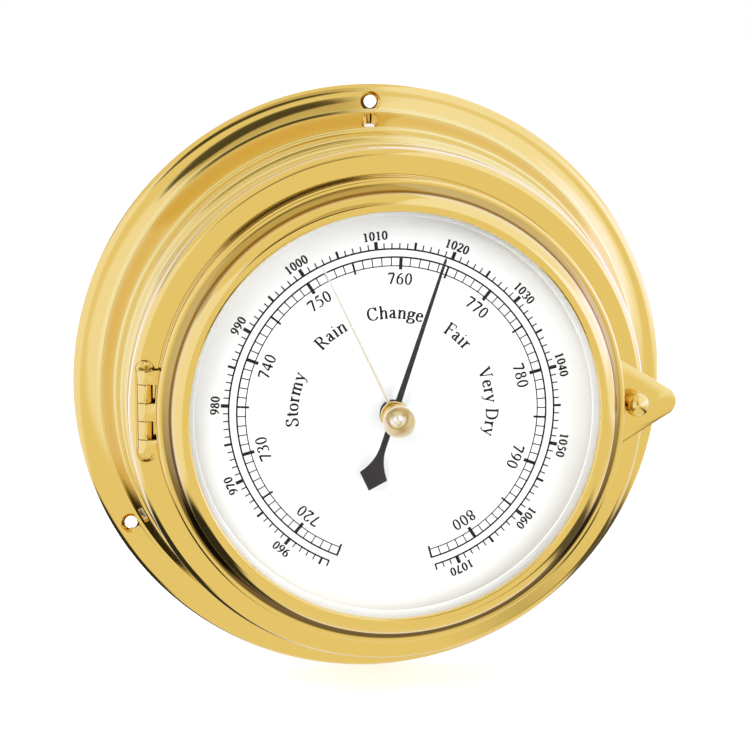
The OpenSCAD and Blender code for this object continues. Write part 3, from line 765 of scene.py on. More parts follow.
@dataclass(frozen=True)
class PlainMetal:
    """A metal of one colour with faint machining grain."""

    name: str
    colour: Colour
    roughness: float
    grain_mm: float = 0.001

    def build(self) -> bpy.types.Material:
        """Metal with grain in its roughness and surface.

        Returns:
            The material.
        """
        material, nodes, shader = new_material(self.name)
        grain = nodes.noise(2600.0, 3.0)
        inputs = {
            "Base Color": (*self.colour, 1.0),
            "Metallic": 1.0,
            "Roughness": nodes.spread(grain, self.roughness * 0.75, self.roughness * 1.3),
            "Normal": nodes.bump(grain, self.grain_mm),
        }
        nodes.feed(shader, inputs)
        return material


@dataclass(frozen=True)
class Coating:
    """Paint, enamel, lacquer, ink or rubber of one colour."""

    name: str
    colour: Colour
    roughness: float
    tint: float = 0.03
    gloss: float = 0.4
    grain_mm: float = 0.0012

    def build(self) -> bpy.types.Material:
        """Dull coat with a slight orange peel and a slow change of tone.

        Returns:
            The material.
        """
        material, nodes, shader = new_material(self.name)
        grain = nodes.noise(3000.0, 3.0)
        dark = tuple(c * (1.0 - self.tint) for c in self.colour)
        inputs = {
            "Specular IOR Level": self.gloss,
            "Roughness": nodes.spread(grain, self.roughness * 0.85, self.roughness * 1.15),
            "Normal": nodes.bump(grain, self.grain_mm),
            "Base Color": nodes.blend(nodes.noise(40.0, 2.0), dark, self.colour),
        }
        nodes.feed(shader, inputs)
        return material


@dataclass(frozen=True)
class ClearGlass:
    """Thin flat instrument glass that lets light and shadow rays straight through."""

    name: str = "glass"
    tint: Colour = (0.985, 0.99, 0.988)
    mirror_ior: float = 1.13
    grazing: float = 0.6

    def build(self) -> bpy.types.Material:
        """Transparent sheet with a faint mirror that grows with the fifth power of the slant.

        Returns:
            The material.
        """
        material, nodes, shader = new_material(self.name)
        plain = {"Base Color": (*self.tint, 1.0), "Roughness": 0.0, "IOR": 1.45}
        nodes.feed(shader, {**plain, "Transmission Weight": 1.0})
        clear = nodes.add("BsdfTransparent", {"Color": (*self.tint, 1.0)})
        mirror = nodes.add("BsdfGlossy", {"Roughness": 0.02})
        slant = nodes.add("LayerWeight", {"Blend": 0.5}).outputs["Facing"]
        straight = ((self.mirror_ior - 1.0) / (self.mirror_ior + 1.0)) ** 2
        grows = nodes.math("POWER", slant, 5.0)
        share = nodes.math("MULTIPLY_ADD", grows, self.grazing - straight, straight)
        nodes.show("Material Output", share, clear, mirror)
        return material


class Finish(Enum):
    """The finishes, under the record's material slots where they have one of their own."""

    BRASS = "polished_brass"
    PALE_BRASS = "pale_brass"
    COVED_BRASS = "coved_brass"
    FOOTED_BRASS = "footed_brass"
    SATIN_BRASS = "satin_brass"
    MOVEMENT = "movement_brass"
    STEEL = "steel"
    BLUED = "spring_steel"
    NICKEL = "nickel_silver"
    COVER = "rear_cover"
    DIAL = "dial_white"
    INK = "dial_ink"
    GLASS = "glass"
    SEAL = "seal_white"
    BLACK = "pointer_black"


RECIPES: dict[Finish, PolishedBrass | PlainMetal | Coating | ClearGlass] = {
    Finish.BRASS: PolishedBrass(),
    Finish.PALE_BRASS: PolishedBrass("pale_brass", (0.90, 0.80, 0.55), 0.24),
    # Painted shade: the window ring's cove is darkened, darkest in its lower half, with a quarter of
    # the lacquer.
    Finish.COVED_BRASS: PolishedBrass(
        "coved_brass", hollow=Hollow(51.75, 53.95, (0.50, 0.32, 0.06), (0.15, 0.085, 0.015))
    ),
    # Painted light: the case's brass between 60 and 69 mm radius is paler, most of all in its upper
    # half.
    Finish.FOOTED_BRASS: PolishedBrass(
        "footed_brass", hollow=Hollow(60.0, 69.0, (0.79, 0.59, 0.15), (0.77, 0.53, 0.10), 1.0)
    ),
    Finish.SATIN_BRASS: PolishedBrass("satin_brass", roughness=0.17),
    Finish.MOVEMENT: PlainMetal("movement_brass", (0.62, 0.42, 0.14), 0.32),
    Finish.STEEL: PlainMetal("steel", (0.62, 0.62, 0.61), 0.28),
    Finish.BLUED: PlainMetal("spring_steel", (0.05, 0.07, 0.17), 0.3),
    Finish.NICKEL: PlainMetal("nickel_silver", (0.66, 0.63, 0.56), 0.36),
    Finish.COVER: Coating("rear_cover", (0.028, 0.028, 0.028), 0.5),
    Finish.DIAL: Coating("dial_white", (0.90, 0.90, 0.90), 0.5, tint=0.006, gloss=0.15),
    Finish.INK: Coating("dial_ink", (0.017, 0.016, 0.015), 0.6, gloss=0.1),
    Finish.GLASS: ClearGlass(),
    Finish.SEAL: Coating("seal_white", (0.90, 0.90, 0.89), 0.55, gloss=0.2),
    Finish.BLACK: Coating("pointer_black", (0.026, 0.022, 0.019), 0.5, gloss=0.15),
}


class Workshop:
    """Holds the built materials and puts new pieces on their bodies."""

    def __init__(self) -> None:
        """Build every finish once."""
        self.materials = {finish: recipe.build() for finish, recipe in RECIPES.items()}
        self.made: list[str] = []

    def dress(self, obj: bpy.types.Object, finish: Finish) -> None:
        """Give a piece its material.

        Args:
            obj: the piece.
            finish: its finish.
        """
        obj.data.materials.clear()
        obj.data.materials.append(self.materials[finish])
        LOG.info("%s: %d faces, %s", obj.name, len(obj.data.polygons), finish.value)

    def finish(
        self, obj: bpy.types.Object, finish: Finish, body: Body, replaces: Sequence[str] = ()
    ) -> None:
        """Dress a new piece, put it on its body and hide the CAD nodes it stands for.

        Args:
            obj: the new piece.
            finish: its finish.
            body: body it rides on.
            replaces: CAD nodes that it stands for.
        """
        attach(obj, body.value)
        self.dress(obj, finish)
        if replaces:
            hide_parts(*replaces)
        self.made.append(obj.name)

    def refine(self, body: Body, finish: Finish, bevels: dict[str, float]) -> None:
        """Put rounded copies in the place of CAD nodes.

        Args:
            body: body they ride on.
            finish: their finish.
            bevels: width of the edge rounding by node.
        """
        for node, bevel in bevels.items():
            self.finish(refined(node, bevel), finish, body, [node])

    def dress_nodes(self, finish: Finish, *nodes: str) -> None:
        """Give CAD nodes that stay shown their material.

        Args:
            finish: their finish.
            nodes: their names.
        """
        for node in nodes:
            self.dress(frame["nodes"][node], finish)


# Case


@dataclass
class Case:
    """Base, drum and front ring, with the hinge's fixed half and the back cover."""

    base_r: float = 75.0
    base_t: float = 2.6
    rim_round: float = 1.3
    foot_r: float = 68.0
    foot_fillet: float = 0.6
    flange_lean: tuple[tuple[float, float], ...] = (
        (73.93, 10.0), (73.4, 6.0), (73.0, 1.5), (72.2, 1.0), (71.5, 3.2), (70.3, 7.0),
        (69.3, 11.0), (68.5, 16.0),
    )
    low_bead: tuple[float, float] = (64.4, 16.8)
    high_bead: tuple[float, float] = (62.8, 24.2)
    bead_round: float = 0.5
    neck_r: float = 61.6
    neck_start: float = 30.8
    neck_end: float = 33.0
    drum_h: float = 38.8
    bore_r: float = 59.6
    wide_bore_r: float = 62.4
    flare: tuple[float, float] = (12.0, 16.0)
    cover_seat: float = 2.0
    cover_bore_r: float = 64.4
    fixing_circle_r: float = 70.6
    fixing_hole_r: float = 1.6
    fixing_sink_r: float = 2.5
    fixing_angles: tuple[float, ...] = (90.0, 210.0, 330.0)
    ring_top: float = 42.7
    ring_open_r: float = 52.6
    step_r: float = 55.45
    step_z: float = 41.85
    inner_break: float = 0.2
    ring_round_w: float = 1.7
    ring_round_h: float = 2.8
    hinge_x: float = 57.6
    hinge_half: float = 9.85
    pocket_half_w: float = 2.3
    pocket_z: float = 40.6
    spigot_in_r: float = 57.75
    spigot_out_r: float = 59.55
    spigot_depth: float = 3.3
    knob_x: float = 58.4
    lock_hole_r: float = 1.5
    lock_hole_z: float = 39.8
    leaf_screw: tuple[float, float] = (0.5, 0.95)
    leaf_hole_r: float = 0.6
    leaf_hole_depth: float = 1.2
    side_rise: float = 0.7

    def shell(self) -> bpy.types.Object:
        """Turned base and drum, with the three countersunk wall holes cut through."""
        low_r, low_z = self.low_bead
        high_r, high_z = self.high_bead
        bead = self.bead_round
        section = Section(self.base_r - 0.5, 0.0).line(self.base_r, 0.5)
        rim, end = self.rim_round, 90 - self.flange_lean[0][1]
        section.bend(self.base_r - rim, self.base_t - rim, rim, 0, end, 14)
        section.lift(self.flange_lean, 0.14)
        section.line(self.foot_r, self.base_t + self.foot_fillet)
        section.sweep(low_r, low_z - bead, 34)
        section.bend(low_r, low_z, bead, -85, 85, 12)
        section.line(low_r - 0.4, low_z + bead)
        section.sweep(high_r + 0.1, high_z - bead, 14)
        section.bend(high_r, high_z, bead, -85, 85, 12)
        section.line(high_r - 0.2, high_z + bead)
        neck_x = high_r - 0.4
        neck_w, neck_h = neck_x - self.neck_r, self.neck_end - self.neck_start
        section.arc(neck_x, self.neck_end, neck_w, neck_h, 270, 180, 12)
        section.line(self.neck_r, self.drum_h - 0.4)
        section.line(self.neck_r - 0.4, self.drum_h).line(self.bore_r, self.drum_h)
        section.line(self.bore_r, self.flare[1]).line(self.wide_bore_r, self.flare[0])
        section.line(self.wide_bore_r, self.cover_seat)
        section.line(self.cover_bore_r, self.cover_seat).line(self.cover_bore_r, 0.0)
        section.line(self.base_r - 0.5, 0.0)
        shell = section.turn("case_shell_turned", 400)
        cut(shell, [self.fixing_tool(math.radians(angle)) for angle in self.fixing_angles])
        return shell

    def fixing_tool(self, angle: float) -> bpy.types.Object:
        """Cutter for one countersunk wall hole.

        Args:
            angle: its place round the base in radians.

        Returns:
            The cutter.
        """
        hole, sink, face = self.fixing_hole_r, self.fixing_sink_r, self.base_t
        tool = Section(0.0, -1.0).line(hole, -1.0).line(hole, face - (sink - hole))
        tool.line(sink - 0.12, face - 0.12).line(sink, face + 0.02)
        tool.line(sink, face + 0.5).line(0.0, face + 0.5)
        x, y = self.fixing_circle_r * math.cos(angle), self.fixing_circle_r * math.sin(angle)
        return tool.turn("cutter", 64, (x, y))

    def ring(self) -> bpy.types.Object:
        """Turned front ring with the hinge's pocket and the lock screw's hole."""
        section = Section(self.neck_r - 0.4, self.drum_h)
        section.line(self.neck_r, self.drum_h + 0.4)
        width, height = self.ring_round_w, self.ring_round_h
        section.arc(self.neck_r - width, self.ring_top - height, width, height, 0, 90, 18)
        edge = self.inner_break
        section.line(self.step_r + edge, self.ring_top)
        section.bend(self.step_r + edge, self.ring_top - edge, edge, 90, 180, 5)
        section.line(self.step_r, self.step_z).line(self.ring_open_r, self.step_z)
        spigot = self.drum_h - self.spigot_depth
        section.line(self.ring_open_r, self.drum_h).line(self.spigot_in_r, self.drum_h)
        section.line(self.spigot_in_r, spigot).line(self.spigot_out_r, spigot)
        section.line(self.spigot_out_r, self.drum_h).line(self.neck_r - 0.4, self.drum_h)
        ring = section.turn("front_ring_turned", 400)
        place = (self.knob_x, self.side_rise)
        cutters = [self.pocket_tool(), drill(self.lock_hole_r, self.lock_hole_z, 44.0, place)]
        inward, beyond = self.leaf_screw
        low = self.pocket_z - self.leaf_hole_depth
        for side in (-1, 1):
            place = (-self.hinge_x + inward, self.side_rise + side * (self.hinge_half + beyond))
            cutters.append(drill(self.leaf_hole_r, low, self.ring_top, place, 32))
        cut(ring, cutters)
        return ring

    def pocket_tool(self) -> bpy.types.Object:
        """Cutter for the pocket: a slot with round ends at the left that opens to the right."""
        right = self.hinge_x - self.ring_open_r + 1.0
        bend, end = np.linspace(2.5, 90.0, 17), np.linspace(90.0, 180.0, 19)
        upper = np.radians(np.concatenate([bend, end[1:]]))
        lower = np.radians(np.concatenate([end + 90.0, -bend[::-1][1:]]))
        corner = [(right, -self.hinge_half - 0.1), (right, self.hinge_half + 0.1)]
        high = round_points(self.pocket_half_w, upper, y=self.hinge_half)
        low = round_points(self.pocket_half_w, lower, y=-self.hinge_half)
        outline = np.concatenate([corner, high, low])
        outline += np.array([-self.hinge_x, self.side_rise])
        return loft("cutter", [level(outline, h) for h in (self.pocket_z, self.ring_top + 2.0)])

    def build(self, shop: Workshop) -> None:
        """Build and dress the case's pieces.

        Args:
            shop: the workshop.
        """
        # The shell's foot carries painted light.
        shop.finish(self.shell(), Finish.FOOTED_BRASS, Body.CASE, ["case_shell"])
        shop.finish(self.ring(), Finish.BRASS, Body.CASE, ["front_ring"])
        brasses = {"hinge_case_leaf": 0.09, "hinge_pin": 0.12, "hinge_leaf_screws": 0.08}
        shop.refine(Body.CASE, Finish.BRASS, brasses)
        back = refined("rear_cover", 0.15, crease_deg=15.0)
        shop.finish(back, Finish.COVER, Body.CASE, ["rear_cover"])
        shop.refine(Body.CASE, Finish.STEEL, {"cover_screws": 0.12})


# Bezel


@dataclass
class Bezel:
    """Hinged window ring with glass, seal, retainer, hinge leaf and latch tab."""

    foot: float = 42.0
    wall_r: float = 55.1
    inner_r: float = 51.0
    rim_z: float = 49.9
    rim_round: float = 0.6
    cove_r: float = 52.1
    cove_w: float = 1.8
    cove_h: float = 2.3
    moulding_w: float = 2.8
    top: float = 55.6
    window_r: float = 47.8
    lip_edge: float = 0.5
    glass_top: float = 53.9
    glass_back: float = 51.9
    glass_r: float = 50.3
    pocket_r: float = 50.4
    seal_back: float = 51.3
    seal_in_r: float = 46.7
    retainer_back: float = 50.3
    tab_low: float = 42.9
    tab_high: float = 44.1
    tab_half: float = 11.0
    tab_reach: float = 68.8
    tab_tip_r: float = 3.6
    tab_edge: float = 0.16
    slot_depth: float = 1.9
    slot_short: float = 1.6
    lock_hole_r: float = 1.5
    retainer_in_r: float = 48.2
    glass_hole_r: float = 2.0
    knob_x: float = 58.4
    side_rise: float = 0.7

    def ring(self) -> bpy.types.Object:
        """Turned window ring: wall, rounded rim, cove, round moulding and lip."""
        cove_z = self.rim_z + self.cove_h
        mould_r = self.cove_r - self.moulding_w
        section = Section(self.inner_r, self.foot).line(self.wall_r - 0.3, self.foot)
        section.line(self.wall_r, self.foot + 0.3)
        rim, lip = self.rim_round, self.lip_edge
        section.bend(self.wall_r - rim, self.rim_z - rim, rim, 0, 90, 10)
        section.arc(self.cove_r + self.cove_w, cove_z, self.cove_w, self.cove_h, 270, 180, 22)
        section.arc(mould_r, cove_z, self.moulding_w, self.top - cove_z, 0, 90, 30)
        section.bend(self.window_r + lip, self.top - lip - 0.1, lip, 90, 180, 8)
        section.line(self.window_r, self.glass_top).line(self.pocket_r, self.glass_top)
        section.line(self.pocket_r, self.retainer_back)
        section.line(self.inner_r, self.retainer_back).line(self.inner_r, self.foot)
        ring = section.turn("bezel_ring_turned", 400, crease_deg=50.0)
        cut(ring, [self.slot_tool()], 50.0)
        return ring

    def slot_tool(self) -> bpy.types.Object:
        """Cutter for the slot in the wall that the tab's root fills."""
        half = self.tab_half - self.slot_short
        x0, x1 = self.wall_r - self.slot_depth, self.wall_r + 1.0
        y0, y1 = self.side_rise - half, self.side_rise + half
        slot = np.array([(x0, y0), (x1, y0), (x1, y1), (x0, y1)])
        return loft("cutter", [level(slot, self.tab_low), level(slot, self.tab_high)])

    def tab(self) -> bpy.types.Object:
        """Latch tab: an arc along the wall, straight flanks that touch a round tip, one hole."""
        tip_x = self.tab_reach - self.tab_tip_r
        root_x = math.sqrt(self.wall_r**2 - self.tab_half**2)
        span = math.hypot(tip_x - root_x, self.tab_half)
        touch = math.atan2(self.tab_half, root_x - tip_x) - math.acos(self.tab_tip_r / span)
        tip = np.linspace(-touch, touch, 41)
        tip_arc = round_points(self.tab_tip_r, tip, x=tip_x)
        rise = self.side_rise
        high = math.asin((self.tab_half + rise) / self.wall_r)
        low = math.asin((rise - self.tab_half) / self.wall_r)
        wall = np.linspace(high, low, 41)
        wall_arc = round_points(self.wall_r, wall, y=-rise)
        flank = np.linspace(0.0, 1.0, 12)[1:-1, None]
        low_flank = wall_arc[-1] + (tip_arc[0] - wall_arc[-1]) * flank
        high_flank = tip_arc[-1] + (wall_arc[0] - tip_arc[-1]) * flank
        outline = np.concatenate([low_flank, tip_arc, high_flank, wall_arc])
        outline[:, 1] += rise
        tab = plate("latch_tab_plate", outline, self.tab_low, self.tab_high, self.tab_edge)
        cut(tab, [drill(self.lock_hole_r, 40.0, 46.0, (self.knob_x, rise))], 35.0)
        return tab

    def flat_ring(
        self, name: str, outer: float, inner: float, low: float, high: float, edge: float
    ) -> bpy.types.Object:
        """A flat turned ring or disc with small edge breaks.

        Args:
            name: object name.
            outer: outside radius.
            inner: inside radius.
            low: height of the back.
            high: height of the front.
            edge: edge break.

        Returns:
            The new object.
        """
        section = Section(inner + edge, low).line(outer - edge, low)
        section.line(outer, low + edge).line(outer, high - edge).line(outer - edge, high)
        section.line(inner + edge, high).line(inner, high - edge).line(inner, low + edge)
        section.line(inner + edge, low)
        return section.turn(name, 256 if outer > 10 else 96)

    def build(self, shop: Workshop) -> None:
        """Build and dress the bezel's pieces.

        Args:
            shop: the workshop.
        """
        # The ring's cove carries painted shade.
        shop.finish(self.ring(), Finish.COVED_BRASS, Body.BEZEL, ["bezel_ring"])
        shop.finish(self.tab(), Finish.BRASS, Body.BEZEL, ["latch_tab"])
        back, front, seal = self.glass_back, self.glass_top, self.seal_back
        for name, finish, sizes in (
            (
                "glass_sheet", Finish.GLASS,
                (self.glass_r, self.glass_hole_r, back + 0.01, front - 0.01, 0.1),
            ),
            (
                "glass_seal_ring", Finish.SEAL,
                (self.glass_r, self.seal_in_r, seal, back - 0.02, 0.08),
            ),
            (
                "glass_retainer_ring", Finish.BRASS,
                (self.pocket_r, self.retainer_in_r, self.retainer_back, seal - 0.02, 0.1),
            ),
        ):
            node = name.removesuffix("_sheet").removesuffix("_ring")
            shop.finish(self.flat_ring(name, *sizes), finish, Body.BEZEL, [node])
        brasses = {"hinge_bezel_leaf": 0.09, "glass_bush": 0.06, "bush_nut": 0.06}
        shop.refine(Body.BEZEL, Finish.BRASS, brasses)


# Dial print


class Pen(Enum):
    """How wide a stroke of a letter is."""

    NIB = "nib"
    THIN = "thin"
    BAR = "bar"
    STEM = "stem"


Stroke = tuple[Pen, list[tuple[float, float]]]


@dataclass(frozen=True)
class Glyph:
    """One figure or letter as pen strokes: Bezier chains with three points to each step."""

    width: float
    strokes: tuple[Stroke, ...]
    rings: tuple[tuple[float, float, float, float], ...] = ()
    dots: tuple[tuple[float, float, float], ...] = ()


def straight(x0: float, y0: float, x1: float, y1: float) -> list[tuple[float, float]]:
    """Control points of a straight step.

    Args:
        x0: start x.
        y0: start y.
        x1: end x.
        y1: end y.

    Returns:
        Four control points.
    """
    a, b = np.array([x0, y0]), np.array([x1, y1])
    return [tuple(a + (b - a) * k / 3.0) for k in range(4)]


def foot(x: float, y: float = 0.018, half: float = 0.105) -> Stroke:
    """A thin serif centred on x at height y.

    Args:
        x: centre.
        y: height.
        half: half its length.

    Returns:
        The stroke.
    """
    return (Pen.THIN, straight(x - half, y, x + half, y))


def stem(x: float, y0: float, y1: float) -> Stroke:
    """An upright stem at x from y0 to y1."""
    return (Pen.STEM, straight(x, y0, x, y1))


def thin(x0: float, y0: float, x1: float, y1: float) -> Stroke:
    """A thin straight stroke."""
    return (Pen.THIN, straight(x0, y0, x1, y1))


def bar(x0: float, y0: float, x1: float, y1: float) -> Stroke:
    """A straight stroke of middle width."""
    return (Pen.BAR, straight(x0, y0, x1, y1))


def nib(*points: tuple[float, float]) -> Stroke:
    """A curved stroke of a broad nib."""
    return (Pen.NIB, list(points))


def hairline(*points: tuple[float, float]) -> Stroke:
    """A thin curved stroke."""
    return (Pen.THIN, list(points))


def arch(x: float) -> tuple[Stroke, Stroke]:
    """The arch and foot of an n, moved right by x."""
    curve = (
        (0.15, 0.48), (0.20, 0.62), (0.42, 0.76), (0.42, 0.44), (0.42, 0.3), (0.42, 0.15), (0.42, 0.0),
    )
    return nib(*((x + along, up) for along, up in curve)), foot(x + 0.42)


SHORT_STEM = (stem(0.13, 0.0, 0.64), foot(0.13), thin(0.02, 0.61, 0.13, 0.65))

ALPHABET: dict[str, Glyph] = {
    "0": Glyph(0.52, (), rings=((0.26, 0.5, 0.175, 0.465),)),
    "1": Glyph(0.52, (stem(0.27, 0.0, 0.96), thin(0.13, 0.83, 0.27, 0.95), foot(0.27, half=0.14))),
    "2": Glyph(0.52, (
        nib((0.09, 0.74), (0.11, 0.92), (0.18, 0.975), (0.26, 0.97), (0.36, 0.96), (0.43, 0.86),
            (0.41, 0.7), (0.38, 0.5), (0.22, 0.3), (0.07, 0.06)), bar(0.07, 0.055, 0.45, 0.055),
        thin(0.44, 0.05, 0.475, 0.2),
    )),
    "3": Glyph(0.52, (
        nib((0.1, 0.8), (0.14, 0.94), (0.2, 0.975), (0.26, 0.97), (0.36, 0.96), (0.41, 0.86),
            (0.39, 0.75), (0.37, 0.62), (0.28, 0.55), (0.19, 0.53)),
        nib((0.19, 0.53), (0.33, 0.52), (0.43, 0.43), (0.42, 0.28), (0.41, 0.1), (0.28, 0.02),
            (0.19, 0.02), (0.13, 0.02), (0.09, 0.05), (0.07, 0.1)),
    )),
    "4": Glyph(0.52, (
        stem(0.355, 0.0, 0.97), thin(0.345, 0.95, 0.05, 0.31), bar(0.035, 0.27, 0.49, 0.27),
    )),
    "5": Glyph(0.52, (
        bar(0.155, 0.93, 0.44, 0.93), thin(0.16, 0.95, 0.125, 0.6),
        nib((0.12, 0.6), (0.24, 0.66), (0.43, 0.58), (0.42, 0.32), (0.41, 0.1), (0.26, 0.01),
            (0.18, 0.02), (0.12, 0.02), (0.09, 0.05), (0.06, 0.09)),
    )),
    "6": Glyph(0.52, (
        nib((0.42, 0.96), (0.24, 0.9), (0.085, 0.66), (0.085, 0.34), (0.085, 0.12), (0.16, 0.02),
            (0.26, 0.02), (0.37, 0.02), (0.435, 0.14), (0.435, 0.3), (0.435, 0.47), (0.37, 0.58),
            (0.27, 0.58), (0.18, 0.58), (0.12, 0.5), (0.095, 0.42)),
    )),
    "7": Glyph(0.52, (
        bar(0.07, 0.93, 0.46, 0.93), thin(0.075, 0.95, 0.05, 0.8),
        nib((0.45, 0.92), (0.38, 0.66), (0.29, 0.34), (0.2, 0.0)),
    )),
    "8": Glyph(0.52, (), rings=((0.26, 0.755, 0.135, 0.205), (0.26, 0.275, 0.17, 0.245))),
    "9": Glyph(0.52, (
        nib((0.1, 0.04), (0.28, 0.1), (0.435, 0.34), (0.435, 0.66), (0.435, 0.88), (0.36, 0.98),
            (0.26, 0.98), (0.15, 0.98), (0.085, 0.86), (0.085, 0.7), (0.085, 0.53), (0.15, 0.42),
            (0.25, 0.42), (0.34, 0.42), (0.4, 0.5), (0.425, 0.58)),
    )),
    "S": Glyph(0.56, (
        nib((0.43, 0.78), (0.4, 0.92), (0.33, 0.975), (0.25, 0.975), (0.08, 0.975), (0.04, 0.68),
            (0.22, 0.56), (0.36, 0.47), (0.5, 0.4), (0.45, 0.2), (0.41, 0.04), (0.29, 0.02),
            (0.24, 0.02), (0.14, 0.02), (0.08, 0.12), (0.06, 0.26)), thin(0.45, 0.98, 0.44, 0.72),
        thin(0.05, 0.02, 0.055, 0.3),
    )),
    "t": Glyph(0.3, (
        nib((0.15, 0.86), (0.15, 0.6), (0.15, 0.4), (0.15, 0.2), (0.15, 0.02), (0.22, 0.0),
            (0.3, 0.08)), thin(0.03, 0.64, 0.29, 0.64),
    )),
    "o": Glyph(0.5, (), rings=((0.25, 0.33, 0.175, 0.31),)),
    "r": Glyph(0.38, (
        *SHORT_STEM, nib((0.15, 0.44), (0.19, 0.58), (0.25, 0.66), (0.33, 0.62)),
    ), dots=((0.335, 0.585, 0.058),)),
    "m": Glyph(0.86, (*SHORT_STEM, *arch(0.0), *arch(0.29))),
    "n": Glyph(0.56, (*SHORT_STEM, *arch(0.0))),
    "h": Glyph(0.56, (stem(0.13, 0.0, 0.99), foot(0.13), thin(0.02, 0.97, 0.13, 1.0), *arch(0.0))),
    "i": Glyph(0.27, SHORT_STEM, dots=((0.13, 0.88, 0.072),)),
    "a": Glyph(0.46, (
        nib((0.08, 0.52), (0.12, 0.66), (0.3, 0.7), (0.3, 0.48), (0.3, 0.35), (0.3, 0.25),
            (0.3, 0.12), (0.3, 0.0), (0.37, 0.0), (0.43, 0.06)),
        nib((0.3, 0.4), (0.18, 0.36), (0.075, 0.3), (0.075, 0.16), (0.075, 0.02), (0.22, -0.02),
            (0.3, 0.14)),
    ), dots=((0.095, 0.52, 0.045),)),
    "y": Glyph(0.5, (
        nib(*straight(0.09, 0.64, 0.28, 0.02)),
        hairline((0.43, 0.64), (0.36, 0.42), (0.29, 0.15), (0.23, -0.08), (0.19, -0.24),
            (0.12, -0.28), (0.06, -0.22)), foot(0.09, 0.635, 0.095), foot(0.425, 0.635, 0.08),
    ), dots=((0.075, -0.22, 0.05),)),
    "e": Glyph(0.45, (
        thin(0.08, 0.38, 0.385, 0.38),
        nib((0.375, 0.38), (0.375, 0.55), (0.31, 0.635), (0.23, 0.635), (0.13, 0.635),
            (0.075, 0.5), (0.075, 0.32), (0.075, 0.12), (0.15, 0.02), (0.25, 0.02), (0.32, 0.02),
            (0.37, 0.08), (0.4, 0.15)),
    )),
    "g": Glyph(0.48, (
        nib((0.12, 0.25), (0.02, 0.17), (0.06, 0.085), (0.2, 0.08), (0.46, 0.08), (0.5, -0.08),
            (0.4, -0.2), (0.28, -0.32), (0.04, -0.3), (0.045, -0.16), (0.05, -0.06), (0.12, 0.0),
            (0.18, 0.05)), bar(0.33, 0.56, 0.47, 0.59),
    ), rings=((0.215, 0.43, 0.135, 0.2),)),
    "C": Glyph(0.7, (
        nib((0.6, 0.74), (0.56, 0.9), (0.48, 0.975), (0.38, 0.975), (0.18, 0.975), (0.09, 0.76),
            (0.09, 0.5), (0.09, 0.22), (0.2, 0.02), (0.39, 0.02), (0.5, 0.02), (0.58, 0.1),
            (0.63, 0.22)), thin(0.615, 0.98, 0.605, 0.68),
    )),
    "R": Glyph(0.68, (
        stem(0.15, 0.0, 0.97), foot(0.15), thin(0.03, 0.96, 0.3, 0.96),
        nib((0.28, 0.96), (0.44, 0.96), (0.5, 0.86), (0.5, 0.74), (0.5, 0.6), (0.42, 0.51),
            (0.28, 0.51)), thin(0.16, 0.51, 0.3, 0.51), nib(*straight(0.31, 0.51, 0.57, 0.04)),
        foot(0.6, half=0.08),
    )),
    "F": Glyph(0.56, (
        stem(0.15, 0.0, 0.97), foot(0.15, half=0.12), thin(0.03, 0.96, 0.52, 0.96),
        thin(0.515, 0.97, 0.53, 0.75), thin(0.16, 0.51, 0.4, 0.51), thin(0.4, 0.62, 0.4, 0.4),
    )),
    "V": Glyph(0.72, (
        (Pen.STEM, straight(0.13, 0.97, 0.38, 0.02)), thin(0.375, 0.02, 0.6, 0.97),
        foot(0.13, 0.96, 0.12), foot(0.6, 0.96, 0.105),
    )),
    "D": Glyph(0.74, (
        stem(0.15, 0.0, 0.97), thin(0.03, 0.96, 0.3, 0.96), thin(0.03, 0.025, 0.3, 0.025),
        nib((0.28, 0.96), (0.52, 0.96), (0.64, 0.78), (0.64, 0.5), (0.64, 0.2), (0.52, 0.025),
            (0.28, 0.025)),
    )),
    " ": Glyph(0.25, ()),
}


